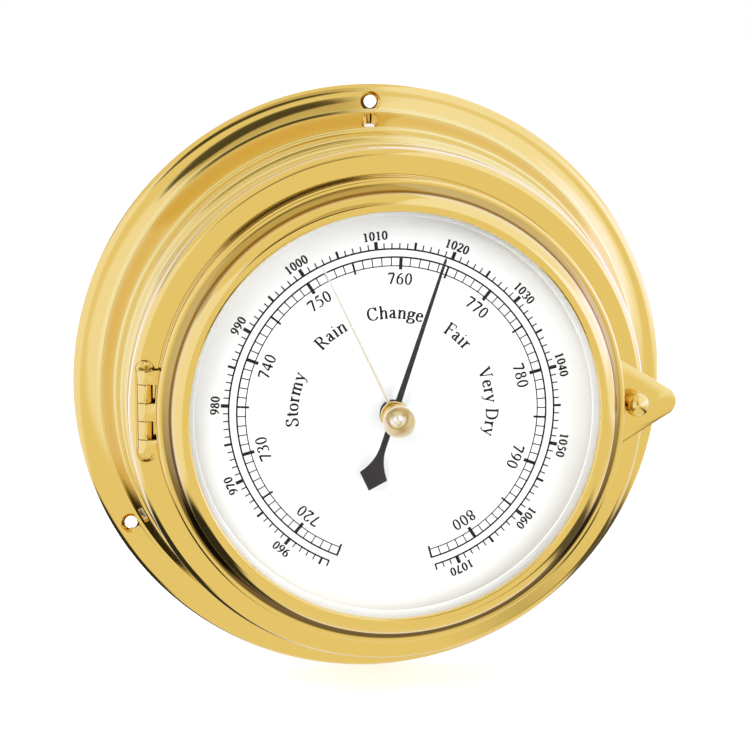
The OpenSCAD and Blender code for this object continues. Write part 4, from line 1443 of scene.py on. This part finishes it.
@dataclass(frozen=True)
class Lettering:
    """A printed size: height of a capital, its stretch and its stroke widths."""

    height: float
    stretch: float = 1.30
    tracking: float = 0.06
    thick: float = 0.135
    thin: float = 0.058

    def advance(self, text: str) -> float:
        """Length in millimetres of a line of text."""
        total = sum(ALPHABET[c].width * self.stretch + self.tracking for c in text)
        return (total - self.tracking) * self.height

    def stroke_edges(self, pen: Pen, control: np.ndarray) -> Edges:
        """Left and right edge of a stroke: its Bezier path moved out by half the pen's width.

        A nib is as wide as sqrt((thick sin)^2 + (thin cos)^2) of the path's direction.

        Args:
            pen: kind of stroke.
            control: (3 k + 1, 2) control points, already stretched.

        Returns:
            Two (n, 2) arrays.
        """
        steps = (len(control) - 1) // 3
        t = np.linspace(0.0, 1.0, 9)[:, None]
        pieces, tangents = [], []
        for k in range(steps):
            a, b, c, d = control[3 * k : 3 * k + 4]
            u = 1.0 - t
            curve = u**3 * a + 3 * u**2 * t * b + 3 * u * t**2 * c + t**3 * d
            slope = 3 * u**2 * (b - a) + 6 * u * t * (c - b) + 3 * t**2 * (d - c)
            skip = 0 if k == 0 else 1
            pieces.append(curve[skip:])
            tangents.append(slope[skip:])
        path, slope = np.concatenate(pieces), np.concatenate(tangents)
        slope = slope / np.maximum(np.linalg.norm(slope, axis=1), 1e-9)[:, None]
        if pen is Pen.NIB:
            return self.inked(path, slope)
        fixed = {Pen.THIN: self.thin, Pen.BAR: self.thin * 1.7, Pen.STEM: self.thick}[pen]
        side = np.stack([-slope[:, 1], slope[:, 0]], axis=1) * fixed / 2.0
        return path + side, path - side

    def inked(self, path: np.ndarray, slope: np.ndarray) -> Edges:
        """Edges that a broad nib leaves along a path.

        Args:
            path: (n, 2) points.
            slope: (n, 2) unit directions.

        Returns:
            Two (n, 2) arrays.
        """
        width = np.sqrt((self.thick * slope[:, 1]) ** 2 + (self.thin * slope[:, 0]) ** 2)
        side = np.stack([-slope[:, 1], slope[:, 0]], axis=1) * width[:, None] / 2.0
        return path + side, path - side

    def glyph_strips(self, char: str) -> list[Edges]:
        """Edges of all the strokes of a figure or letter, in units of its height.

        Args:
            char: the character.

        Returns:
            Pairs of edges.
        """
        glyph = ALPHABET[char]
        stretch = np.array([self.stretch, 1.0])
        strips = [
            self.stroke_edges(pen, np.array(points) * stretch) for pen, points in glyph.strokes
        ]
        for x, y, rx, ry in glyph.rings:
            a = np.linspace(0.0, TURN, 29)
            long = rx * self.stretch
            path = np.stack([x * self.stretch + long * np.cos(a), y + ry * np.sin(a)], 1)
            slope = np.stack([-long * np.sin(a), ry * np.cos(a)], 1)
            slope /= np.linalg.norm(slope, axis=1)[:, None]
            strips.append(self.inked(path, slope))
        for x, y, r in glyph.dots:
            a = np.linspace(0.0, math.pi, 9)
            top, low = (round_points(r, side, x * self.stretch, y) for side in (a, -a))
            strips.append((top, low))
        return strips

    def on_arc(self, text: str, radius: float, clock_deg: float) -> list[Edges]:
        """Set a line round the dial, tops outward, each letter square to its own radius.

        Args:
            text: what is written.
            radius: radius of the base line.
            clock_deg: clock angle of the line's middle.

        Returns:
            Pairs of edges in millimetres.
        """
        middle = radius + 0.45 * self.height
        pen_x = -self.advance(text) / 2.0
        strips = []
        for char in text:
            width = ALPHABET[char].width * self.stretch * self.height
            clock = math.radians(clock_deg) + (pen_x + width / 2.0) / middle
            along = np.array([math.cos(clock), -math.sin(clock)])
            out = np.array([math.sin(clock), math.cos(clock)])
            for left, right in self.glyph_strips(char):
                placed = []
                for edge in (left, right):
                    x = edge[:, :1] * self.height - width / 2.0
                    y = edge[:, 1:] * self.height + radius
                    placed.append(x * along + y * out)
                strips.append((placed[0], placed[1]))
            pen_x += width + self.tracking * self.height
        return strips


@dataclass
class Dial:
    """White dial with its two scales, figures and weather words."""

    radius: float = 49.5
    face: float = 46.8
    thickness: float = 0.8
    hole_r: float = 3.0
    ink: float = 0.02
    top_hpa: float = 1012.1
    degrees_per_hpa: float = 2.7
    hpa_per_mmhg: float = 1.33322
    outer_circle: float = 38.44
    middle_circle: float = 36.54
    inner_circle: float = 34.5
    thick_line: float = 0.40
    thin_line: float = 0.27
    line_overlap: float = 0.18
    ladder_foot: float = 33.65
    print_depth: float = 0.01
    hpa_ends: tuple[int, int] = (954, 1073)
    mmhg_ends: tuple[int, int] = (715, 805)
    ten_mark: tuple[float, float] = (1.85, 0.84)
    five_mark: tuple[float, float] = (1.75, 0.58)
    end_mark: tuple[float, float] = (1.5, 0.40)
    unit_mark: tuple[float, float] = (1.35, 0.30)
    outer_base: float = 40.65
    inner_base: float = 30.2
    word_base: float = 22.2
    outer_figures: Lettering = Lettering(2.02, thick=0.225, thin=0.125)
    inner_figures: Lettering = Lettering(2.72, thick=0.175, thin=0.10)
    lettering: Lettering = Lettering(3.02, thick=0.185, thin=0.095)
    words: tuple[tuple[str, float], ...] = (
        ("Stormy", -81.5), ("Rain", -38.0), ("Change", 1.5), ("Fair", 41.0), ("Very Dry", 85.0),
    )

    def clock(self, hpa: float) -> float:
        """Clock angle of a pressure in degrees."""
        return (hpa - self.top_hpa) * self.degrees_per_hpa

    def mark(self, clock_deg: float, inner: float, outer: float, width: float) -> Edges:
        """Edges of one straight mark that points to the centre.

        Args:
            clock_deg: clock angle.
            inner: inner radius.
            outer: outer radius.
            width: width.

        Returns:
            Left and right edge.
        """
        a = math.radians(clock_deg)
        out = np.array([math.sin(a), math.cos(a)])
        side = np.array([math.cos(a), -math.sin(a)]) * width / 2.0
        ends = np.array([out * inner, out * outer])
        return ends - side, ends + side

    def circle(self, radius: float, width: float, start: float, end: float) -> Edges:
        """Edges of a printed arc between two clock angles.

        Args:
            radius: middle radius.
            width: line width.
            start: first clock angle.
            end: last clock angle.

        Returns:
            Outer and inner edge.
        """
        a = np.radians(np.linspace(start, end, 361))
        unit = np.stack([np.sin(a), np.cos(a)], axis=1)
        return unit * (radius + width / 2.0), unit * (radius - width / 2.0)

    def marks(self) -> list[Edges]:
        """Edges of all the scale marks.

        Returns:
            Pairs of edges.
        """
        marks = []
        low, high = self.hpa_ends
        for hpa in range(low, high + 1):
            start = self.outer_circle
            if hpa % 10 == 0:
                length, width = self.ten_mark
            elif hpa % 5 == 0:
                length, width = self.five_mark
            elif hpa in self.hpa_ends:
                length, width = self.end_mark
                start -= self.line_overlap
            else:
                length, width = self.unit_mark
            marks.append(self.mark(self.clock(hpa), start, self.outer_circle + length, width))
        low, high = self.mmhg_ends
        for mmhg in range(low, high + 1):
            start, end, width = self.ladder_foot, self.middle_circle, 0.50
            if mmhg % 10 == 0:
                width = 0.80
            elif mmhg in self.mmhg_ends:
                end += self.line_overlap
            elif mmhg % 5:
                start, width = self.inner_circle, self.thin_line
            marks.append(self.mark(self.clock(mmhg * self.hpa_per_mmhg), start, end, width))
        return marks

    def strokes(self) -> list[Edges]:
        """Edges of the circles, the figures and the words.

        Returns:
            Pairs of edges.
        """
        outer = [self.clock(hpa) for hpa in self.hpa_ends]
        ladder = [self.clock(mmhg * self.hpa_per_mmhg) for mmhg in self.mmhg_ends]
        strips = [
            self.circle(self.outer_circle, self.thick_line, *outer),
            self.circle(self.middle_circle, self.thick_line, *ladder),
            self.circle(self.inner_circle, self.thin_line, *ladder),
        ]
        for hpa in range(960, 1071, 10):
            strips += self.outer_figures.on_arc(str(hpa), self.outer_base, self.clock(hpa))
        for mmhg in range(720, 801, 10):
            at = self.clock(mmhg * self.hpa_per_mmhg)
            strips += self.inner_figures.on_arc(str(mmhg), self.inner_base, at)
        for word, at in self.words:
            strips += self.lettering.on_arc(word, self.word_base, at)
        return strips

    def build(self, shop: Workshop) -> None:
        """Build and dress the dial and its print.

        Args:
            shop: the workshop.
        """
        back = self.face - self.thickness
        section = Section(self.hole_r, back).line(self.radius, back).line(self.radius, self.face - 0.1)
        section.line(self.radius - 0.1, self.face).line(self.hole_r, self.face)
        section.line(self.hole_r, back)
        shop.finish(section.turn("dial_disc", 256), Finish.DIAL, Body.CASE, ["dial_plate"])
        low, top = self.face - self.print_depth, self.face + self.ink
        for name, strips, high in (
            ("dial_marks", self.marks(), top),
            ("dial_figures", self.strokes(), top + 0.002),
        ):
            shop.finish(ribbons(name, strips, low, high), Finish.INK, Body.CASE)


# Hands


@dataclass
class Hands:
    """Black pointer, brass set hand, its dished knob and the small parts on the glass."""

    pointer_angle: float = 18.4
    pointer_z: float = 49.8
    pointer_t: float = 0.4
    pointer_len: float = 38.7
    pointer_tail: float = 19.0
    pointer_corner: float = 3.6
    pointer_waist: float = 8.0
    pointer_spread: float = 3.4
    pointer_edge: float = 0.06
    root_half: float = 0.72
    tip_half: float = 0.3
    hub_r: float = 3.4
    set_angle: float = -25.6
    set_len: float = 38.9
    set_root_half: float = 0.45
    set_tip_half: float = 0.2
    set_hub_r: float = 1.6
    set_low: float = 50.75
    set_high: float = 51.05
    knob_z: float = 54.625
    knob_dish_h: float = 5.0
    knob_r: float = 3.8
    knob_edge_w: float = 0.3
    seat_r: float = 1.7
    dish_floor: float = 1.6
    button_z: float = 1.0
    button_r: float = 2.3

    def turned_by(self, outline: np.ndarray, clock_deg: float) -> np.ndarray:
        """Turn an outline that points up to a clock angle.

        Args:
            outline: (n, 2) points.
            clock_deg: clock angle.

        Returns:
            Turned points.
        """
        a = -math.radians(clock_deg)
        turn = np.array([[math.cos(a), math.sin(a)], [-math.sin(a), math.cos(a)]])
        return outline @ turn

    def pointer(self) -> bpy.types.Object:
        """Pointer with a long tapered arm, round hub and a kite tail with hollow flanks."""
        end = self.pointer_tail - self.pointer_corner
        s = np.linspace(0.0, 1.0, 24)
        half = self.root_half + (self.pointer_spread - self.root_half) * s**2.2
        flank = np.stack([half, -self.pointer_waist - (end - self.pointer_waist) * s], axis=1)
        meet = math.sqrt(self.hub_r**2 - self.root_half**2)
        lean = math.asin(self.root_half / self.hub_r)
        hub = np.linspace(math.pi / 2 - lean, -math.pi / 2 + lean, 25)
        hub_arc = round_points(self.hub_r, hub)
        arm = np.array([[self.tip_half, self.pointer_len - 1.0], [self.root_half * 0.96, meet]])
        steps = np.linspace(0.0, 1.0, 9)[:, None]
        arm = arm[0] + (arm[1] - arm[0]) * steps
        right = np.concatenate([arm[:-1], hub_arc, flank])
        left = right[::-1] * np.array([-1.0, 1.0])
        tip, tail = [[0.0, self.pointer_len]], [[0.0, -self.pointer_tail]]
        outline = np.concatenate([tip, right, tail, left])[::-1]
        outline = self.turned_by(outline, self.pointer_angle)
        high = self.pointer_z + self.pointer_t
        return plate("pointer_blade", outline, self.pointer_z, high, self.pointer_edge, 2)

    def set_hand(self) -> bpy.types.Object:
        """Slim straight set hand with a small hub."""
        lean = math.asin(self.set_root_half / self.set_hub_r)
        hub = np.linspace(math.pi / 2 - lean, -1.5 * math.pi + lean, 41)
        hub_arc = round_points(self.set_hub_r, hub)
        half, shoulder = self.set_tip_half, self.set_len - 0.6
        tip = np.array([[-half, shoulder], [0.0, self.set_len], [half, shoulder]])
        outline = np.concatenate([tip, hub_arc])[::-1]
        outline = self.turned_by(outline, self.set_angle)
        return plate("set_hand_blade", outline, self.set_low, self.set_high, 0.1, 3)

    def knob(self) -> bpy.types.Object:
        """Turned knob: a thin flared dish with a round button in its middle."""
        low, rim = self.knob_z, self.knob_z + self.knob_dish_h
        section = Section(0.0, low).line(self.seat_r, low).line(self.seat_r + 0.8, low + 0.5)
        section.line(self.knob_r, rim - 0.3)
        section.bend(self.knob_r - 0.12, rim - 0.12, 0.12, 0, 90, 5)
        section.line(self.knob_r - self.knob_edge_w, rim)
        ball_h = low + self.button_z
        floor_h = low + self.dish_floor
        meet_r = math.sqrt(self.button_r**2 - (floor_h - ball_h) ** 2)
        section.line(meet_r + 0.01, floor_h)
        start = math.degrees(math.asin((floor_h - ball_h) / self.button_r))
        section.bend(0.0, ball_h, self.button_r, start, 90, 24)
        return section.turn("set_hand_knob_turned", 128, crease_deg=32.0)

    def build(self, shop: Workshop) -> None:
        """Build and dress the hands.

        Args:
            shop: the workshop.
        """
        shop.finish(self.pointer(), Finish.BLACK, Body.POINTER, ["pointer"])
        shop.dress_nodes(Finish.BLACK, "pointer_boss")
        shop.dress_nodes(Finish.STEEL, "pointer_arbor")
        shop.finish(self.set_hand(), Finish.PALE_BRASS, Body.SET_HAND, ["set_hand"])
        shop.finish(self.knob(), Finish.PALE_BRASS, Body.SET_HAND, ["set_hand_knob"])
        shop.dress_nodes(Finish.BRASS, "set_hand_arbor")
        shop.dress_nodes(Finish.STEEL, "friction_washer")


@dataclass
class LockingKnob:
    """Ball knob on a short neck whose shank goes through the tab into the front ring."""

    x: float = 58.4
    y: float = 0.7
    tab_top: float = 44.1
    ball_r: float = 2.95
    collar_r: float = 1.9
    collar_t: float = 0.35
    rise: float = 0.15
    neck_r: float = 1.3
    shank_r: float = 1.45
    shank_tip: float = 40.1

    def build(self, shop: Workshop) -> None:
        """Turn and dress the knob.

        Args:
            shop: the workshop.
        """
        collar = self.tab_top + self.rise
        collar_top = collar + self.collar_t
        ball_h = self.tab_top + self.collar_t + self.rise + self.ball_r
        under = -math.degrees(math.acos(self.neck_r / self.ball_r))
        section = Section(0.0, self.shank_tip).line(self.shank_r - 0.15, self.shank_tip)
        section.line(self.shank_r, self.shank_tip + 0.15).line(self.shank_r, collar)
        section.line(self.collar_r - 0.08, collar)
        section.bend(self.collar_r - 0.08, collar + 0.08, 0.08, -90, 0, 3)
        section.bend(self.collar_r - 0.12, collar_top - 0.12, 0.12, 0, 90, 4)
        neck_meet = ball_h - math.sqrt(self.ball_r**2 - self.neck_r**2)
        section.line(self.neck_r, collar_top).line(self.neck_r, neck_meet)
        section.bend(0.0, ball_h, self.ball_r, under, 90, 40)
        knob = section.turn("locking_knob_turned", 96, (self.x, self.y), crease_deg=32.0)
        shop.finish(knob, Finish.SATIN_BRASS, Body.LOCK, ["locking_knob"])


@dataclass
class Movement:
    """Pieces behind the dial, shown as the CAD nodes with their own finishes."""

    brass: tuple[str, ...] = (
        "dial_carrier", "movement_base", "movement_pillars", "upper_bush", "dial_feet",
        "capsule_foot", "capsule_post", "spring_bracket", "lever_arm", "lever_rivets",
        "arbor_bridge", "rocker_posts", "hairspring_collet",
    )
    steel: tuple[str, ...] = (
        "carrier_screws", "dial_nuts", "pillar_screws", "bracket_screws", "spring_screws",
        "bridge_screws", "knife_pin", "link_rod", "hairspring_stud", "rocker_shaft",
        "adjusting_screw", "chain",
    )
    blued: tuple[str, ...] = ("main_spring", "hairspring")
    nickel: tuple[str, ...] = ("capsule_lower", "capsule_upper")

    def build(self, shop: Workshop) -> None:
        """Dress every inner node.

        Args:
            shop: the workshop.
        """
        shop.dress_nodes(Finish.MOVEMENT, *self.brass)
        shop.dress_nodes(Finish.STEEL, *self.steel)
        shop.dress_nodes(Finish.BLUED, *self.blued)
        shop.dress_nodes(Finish.NICKEL, *self.nickel)


# Studio


@dataclass(frozen=True)
class Screen:
    """A soft-edged studio screen that only the polished metal sees.

    It is a patch of a wide ball round the object. Its spine lists azimuth (0 towards the
    viewer's side, 90 to the right), lower and upper elevation in degrees.
    """

    name: str
    colour: Colour
    spine: tuple[tuple[float, float, float], ...]
    soft: float = 5.0
    opacity: float = 1.0
    distance_mm: float = 1600.0

    def build(self) -> None:
        """Mesh the patch: distance times (sin az cos el, -cos az cos el, sin el).

        Its cover runs from 0 at the edge to the opacity one soft edge inside, as 3 s^2 - 2 s^3.
        """
        spine = np.array(self.spine)
        azimuth = np.linspace(spine[0, 0], spine[-1, 0], 121)
        low = np.interp(azimuth, spine[:, 0], spine[:, 1]) - self.soft / 2.0
        high = np.interp(azimuth, spine[:, 0], spine[:, 2]) + self.soft / 2.0
        t = np.linspace(0.0, 1.0, 49)[None, :]
        el = low[:, None] + (high - low)[:, None] * t
        az = np.broadcast_to(azimuth[:, None], el.shape)
        edge = np.minimum(el - low[:, None], high[:, None] - el)
        edge = np.minimum(edge, np.minimum(az - azimuth[0], azimuth[-1] - az))
        s = np.clip(edge / self.soft, 0.0, 1.0)
        cover = (3.0 * s**2 - 2.0 * s**3) * self.opacity
        a, e = np.radians(az), np.radians(el)
        x, y, h = np.sin(a) * np.cos(e), np.sin(e), np.cos(a) * np.cos(e)
        points = np.stack([x, y, h], axis=-1).reshape(-1, 3) * self.distance_mm
        obj = add_mesh(self.name, points, grid_quads(*el.shape, False, False))
        layer = obj.data.attributes.new("cover", "FLOAT", "POINT")
        layer.data.foreach_set("value", cover.reshape(-1).astype(np.float32))
        material, nodes, _ = new_material(self.name)
        glow = nodes.add("Emission", {"Color": (*self.colour, 1.0)})
        clear = nodes.add("BsdfTransparent", {})
        share = nodes.add("Attribute", {}, attribute_name="cover").outputs["Fac"]
        nodes.show("Material Output", share, clear, glow)
        obj.data.materials.append(material)
        for rays in ("camera", "diffuse", "shadow", "transmission"):
            setattr(obj, f"visible_{rays}", False)


SCREENS: tuple[Screen, ...] = (
    Screen(
        "right_panel", (1.16, 1.31, 2.15),
        (
            (5.0, 5.0, 8.0), (9.0, 3.5, 34.0), (14.0, 2.0, 50.0), (19.0, -2.0, 58.0),
            (26.0, -7.0, 64.0), (40.0, -9.0, 70.0), (60.0, -11.0, 74.0), (100.0, -13.0, 74.0),
            (135.0, -12.0, 70.0), (160.0, -11.0, 58.0), (176.0, -8.0, 40.0),
        ),
        soft=4.0,
    ),
    Screen(
        "right_core", (1.45, 1.63, 4.4),
        (
            (20.0, 2.0, 8.0), (30.0, -2.0, 14.0), (50.0, -3.0, 19.0), (80.0, 1.0, 22.0),
            (110.0, 4.0, 20.0), (125.0, 8.0, 14.0),
        ),
        soft=7.0, opacity=0.9, distance_mm=1560.0,
    ),
    Screen(
        "left_panel", (1.13, 1.24, 1.95),
        (
            (-178.0, -18.0, 8.0), (-165.0, -22.0, 14.0), (-150.0, -24.0, 22.0),
            (-120.0, -26.0, 29.0), (-90.0, -28.0, 32.0), (-60.0, -26.0, 30.0),
            (-30.0, -18.0, 25.0), (-15.0, -12.0, 15.0), (-4.0, -6.0, 3.0),
        ),
        soft=6.0,
    ),
    Screen(
        "left_shade", (0.62, 0.66, 0.85),
        ((-180.0, 8.0, 34.0), (-150.0, 14.0, 30.0), (-120.0, 18.0, 29.0), (-95.0, 26.0, 31.0)),
        soft=7.0, opacity=0.85, distance_mm=1570.0,
    ),
    Screen(
        "left_flag", (0.02, 0.02, 0.02),
        (
            (-180.0, -38.0, -24.0), (-165.0, -50.0, -25.0), (-150.0, -58.0, -27.0),
            (-120.0, -64.0, -30.0), (-90.0, -62.0, -32.0), (-60.0, -54.0, -32.0),
            (-40.0, -46.0, -30.0), (-24.0, -38.0, -29.0),
        ),
        soft=7.0, opacity=0.98, distance_mm=1540.0,
    ),
    Screen(
        "right_flag", (0.08, 0.08, 0.08),
        (
            (9.0, -20.0, -17.0), (25.0, -27.0, -18.0), (45.0, -36.0, -24.0), (65.0, -43.0, -29.0),
            (95.0, -46.0, -33.0), (125.0, -43.0, -29.0), (150.0, -36.0, -20.0),
            (168.0, -38.0, -16.0), (180.0, -38.0, -18.0),
        ),
        soft=6.0, opacity=0.95, distance_mm=1530.0,
    ),
    Screen(
        "upper_gap", (0.62, 0.58, 0.50),
        ((-18.0, 14.0, 46.0), (-8.0, 10.0, 48.0), (0.0, 8.0, 44.0), (9.0, 4.0, 24.0)),
        soft=6.0, opacity=0.8, distance_mm=1520.0,
    ),
    Screen(
        "viewer_gap", (0.06, 0.06, 0.06),
        (
            (-12.0, 7.0, 14.0), (-8.0, 4.5, 15.0), (-3.0, 3.5, 15.0), (2.0, 3.5, 14.0),
            (6.0, 5.0, 11.0),
        ),
        soft=2.2, opacity=0.96, distance_mm=1515.0,
    ),
    Screen(
        "hot_left", (1.9, 2.0, 2.7),
        ((-179.0, -16.0, 5.0), (-160.0, -12.0, 4.0), (-146.0, -10.0, -2.0)),
        soft=6.0, opacity=1.0, distance_mm=1510.0,
    ),
    Screen(
        "hot_right", (2.0, 2.1, 2.8),
        ((164.0, -6.0, 10.0), (172.0, -9.0, 22.0), (179.0, -9.0, 18.0)),
        soft=6.0, opacity=1.0, distance_mm=1500.0,
    ),
)


@dataclass
class Studio:
    """Pale floor, white surround, soft lamps and the camera of the photograph."""

    camera_mm: tuple[float, float, float] = (-64.73, -550.48, 93.33)
    right: tuple[float, float, float] = (0.99284, -0.11944, 0.0)
    up: tuple[float, float, float] = (0.01961, 0.16301, 0.98643)
    back: tuple[float, float, float] = (-0.11782, -0.97937, 0.16419)
    lens: float = 105.6
    floor_z: float = -75.2
    floor_size: float = 12.0
    floor_tone: float = 0.93
    floor_lift: float = 0.55
    world_light: float = 0.56
    lamp_size: float = 900.0
    lamp_target: tuple[float, float, float] = (0.0, -30.0, 0.0)
    key_watts: float = 16.5
    fill_watts: float = 9.0

    def camera(self) -> None:
        """Put the camera at the photograph's place."""
        data = bpy.data.cameras.new("camera")
        data.lens = self.lens
        data.sensor_width = 36.0
        data.clip_end = 50.0
        obj = link("camera", data)
        turn = Matrix((self.right, self.up, self.back)).transposed().to_4x4()
        obj.matrix_world = Matrix.Translation(Vector(self.camera_mm) * MM) @ turn
        bpy.context.scene.camera = obj

    def surround(self) -> None:
        """White world for camera, mirror and glass rays, a softer one for plain light."""
        surround = bpy.data.worlds.new("surround")
        bpy.context.scene.world = surround
        surround.use_nodes = True
        nodes = Nodes(surround.node_tree)
        shown = surround.node_tree.nodes["Background"]
        nodes.feed(shown, {"Color": WHITE, "Strength": 1.0})
        light = nodes.add("Background", {"Color": WHITE, "Strength": self.world_light})
        nodes.show("World Output", self.shown_ray(nodes), light, shown)

    def shown_ray(self, nodes: Nodes) -> Socket:
        """One for rays of the camera, of a mirror or through glass, else nothing.

        Args:
            nodes: node adder of a world or material.

        Returns:
            Socket with 0 or 1.
        """
        path = nodes.add("LightPath", {}).outputs
        either = nodes.math("MAXIMUM", path["Is Camera Ray"], path["Is Glossy Ray"])
        return nodes.math("MAXIMUM", either, path["Is Transmission Ray"])

    def floor(self) -> None:
        """A wide pale floor just under the base, white but for the object's shadow."""
        half = self.floor_size / 2.0 / MM
        z = self.floor_z
        corners = np.array([[-half, z, -half], [half, z, -half], [half, z, half], [-half, z, half]])
        obj = add_mesh("floor", corners, None, [[0, 3, 2, 1]])
        material, nodes, shader = new_material("pale_floor")
        inputs = {
            "Base Color": (self.floor_tone, self.floor_tone, self.floor_tone, 1.0),
            "Roughness": 0.9,
            "Specular IOR Level": 0.0,
            "Emission Color": WHITE,
            "Emission Strength": nodes.math("MULTIPLY", self.shown_ray(nodes), self.floor_lift),
        }
        nodes.feed(shader, inputs)
        obj.data.materials.append(material)
        obj.visible_glossy = False

    def lamp(self, name: str, place_mm: tuple[float, float, float], watts: float) -> None:
        """A soft square lamp aimed at the object.

        Args:
            name: lamp name.
            place_mm: place in the row frame.
            watts: power.
        """
        data = bpy.data.lights.new(name, "AREA")
        data.shape = "RECTANGLE"
        data.size = self.lamp_size * MM
        data.size_y = self.lamp_size * MM
        data.energy = watts
        obj = link(name, data)
        obj.location = Vector(place_mm) * MM
        aim = Vector(self.lamp_target) * MM - obj.location
        obj.rotation_euler = aim.to_track_quat("-Z", "Y").to_euler()
        obj.visible_glossy = False

    def build(self) -> None:
        """Set up camera, surround, floor, lamps and screens."""
        self.camera()
        self.surround()
        self.floor()
        self.lamp("key", (-700.0, -900.0, 900.0), self.key_watts)
        self.lamp("fill", (900.0, -700.0, 300.0), self.fill_watts)
        for screen in SCREENS:
            screen.build()
        bpy.context.scene.view_settings.view_transform = "Standard"


def main() -> None:
    """Build the barometer's sub-assemblies in order, then the studio."""
    logging.basicConfig(level=logging.INFO, format="%(message)s")
    shop = Workshop()
    for assembly in (Case(), Bezel(), Dial(), Hands(), LockingKnob(), Movement()):
        assembly.build(shop)
    Studio().build()
    LOG.info("%d new pieces", len(shop.made))


if __name__ == "__main__":
    main()
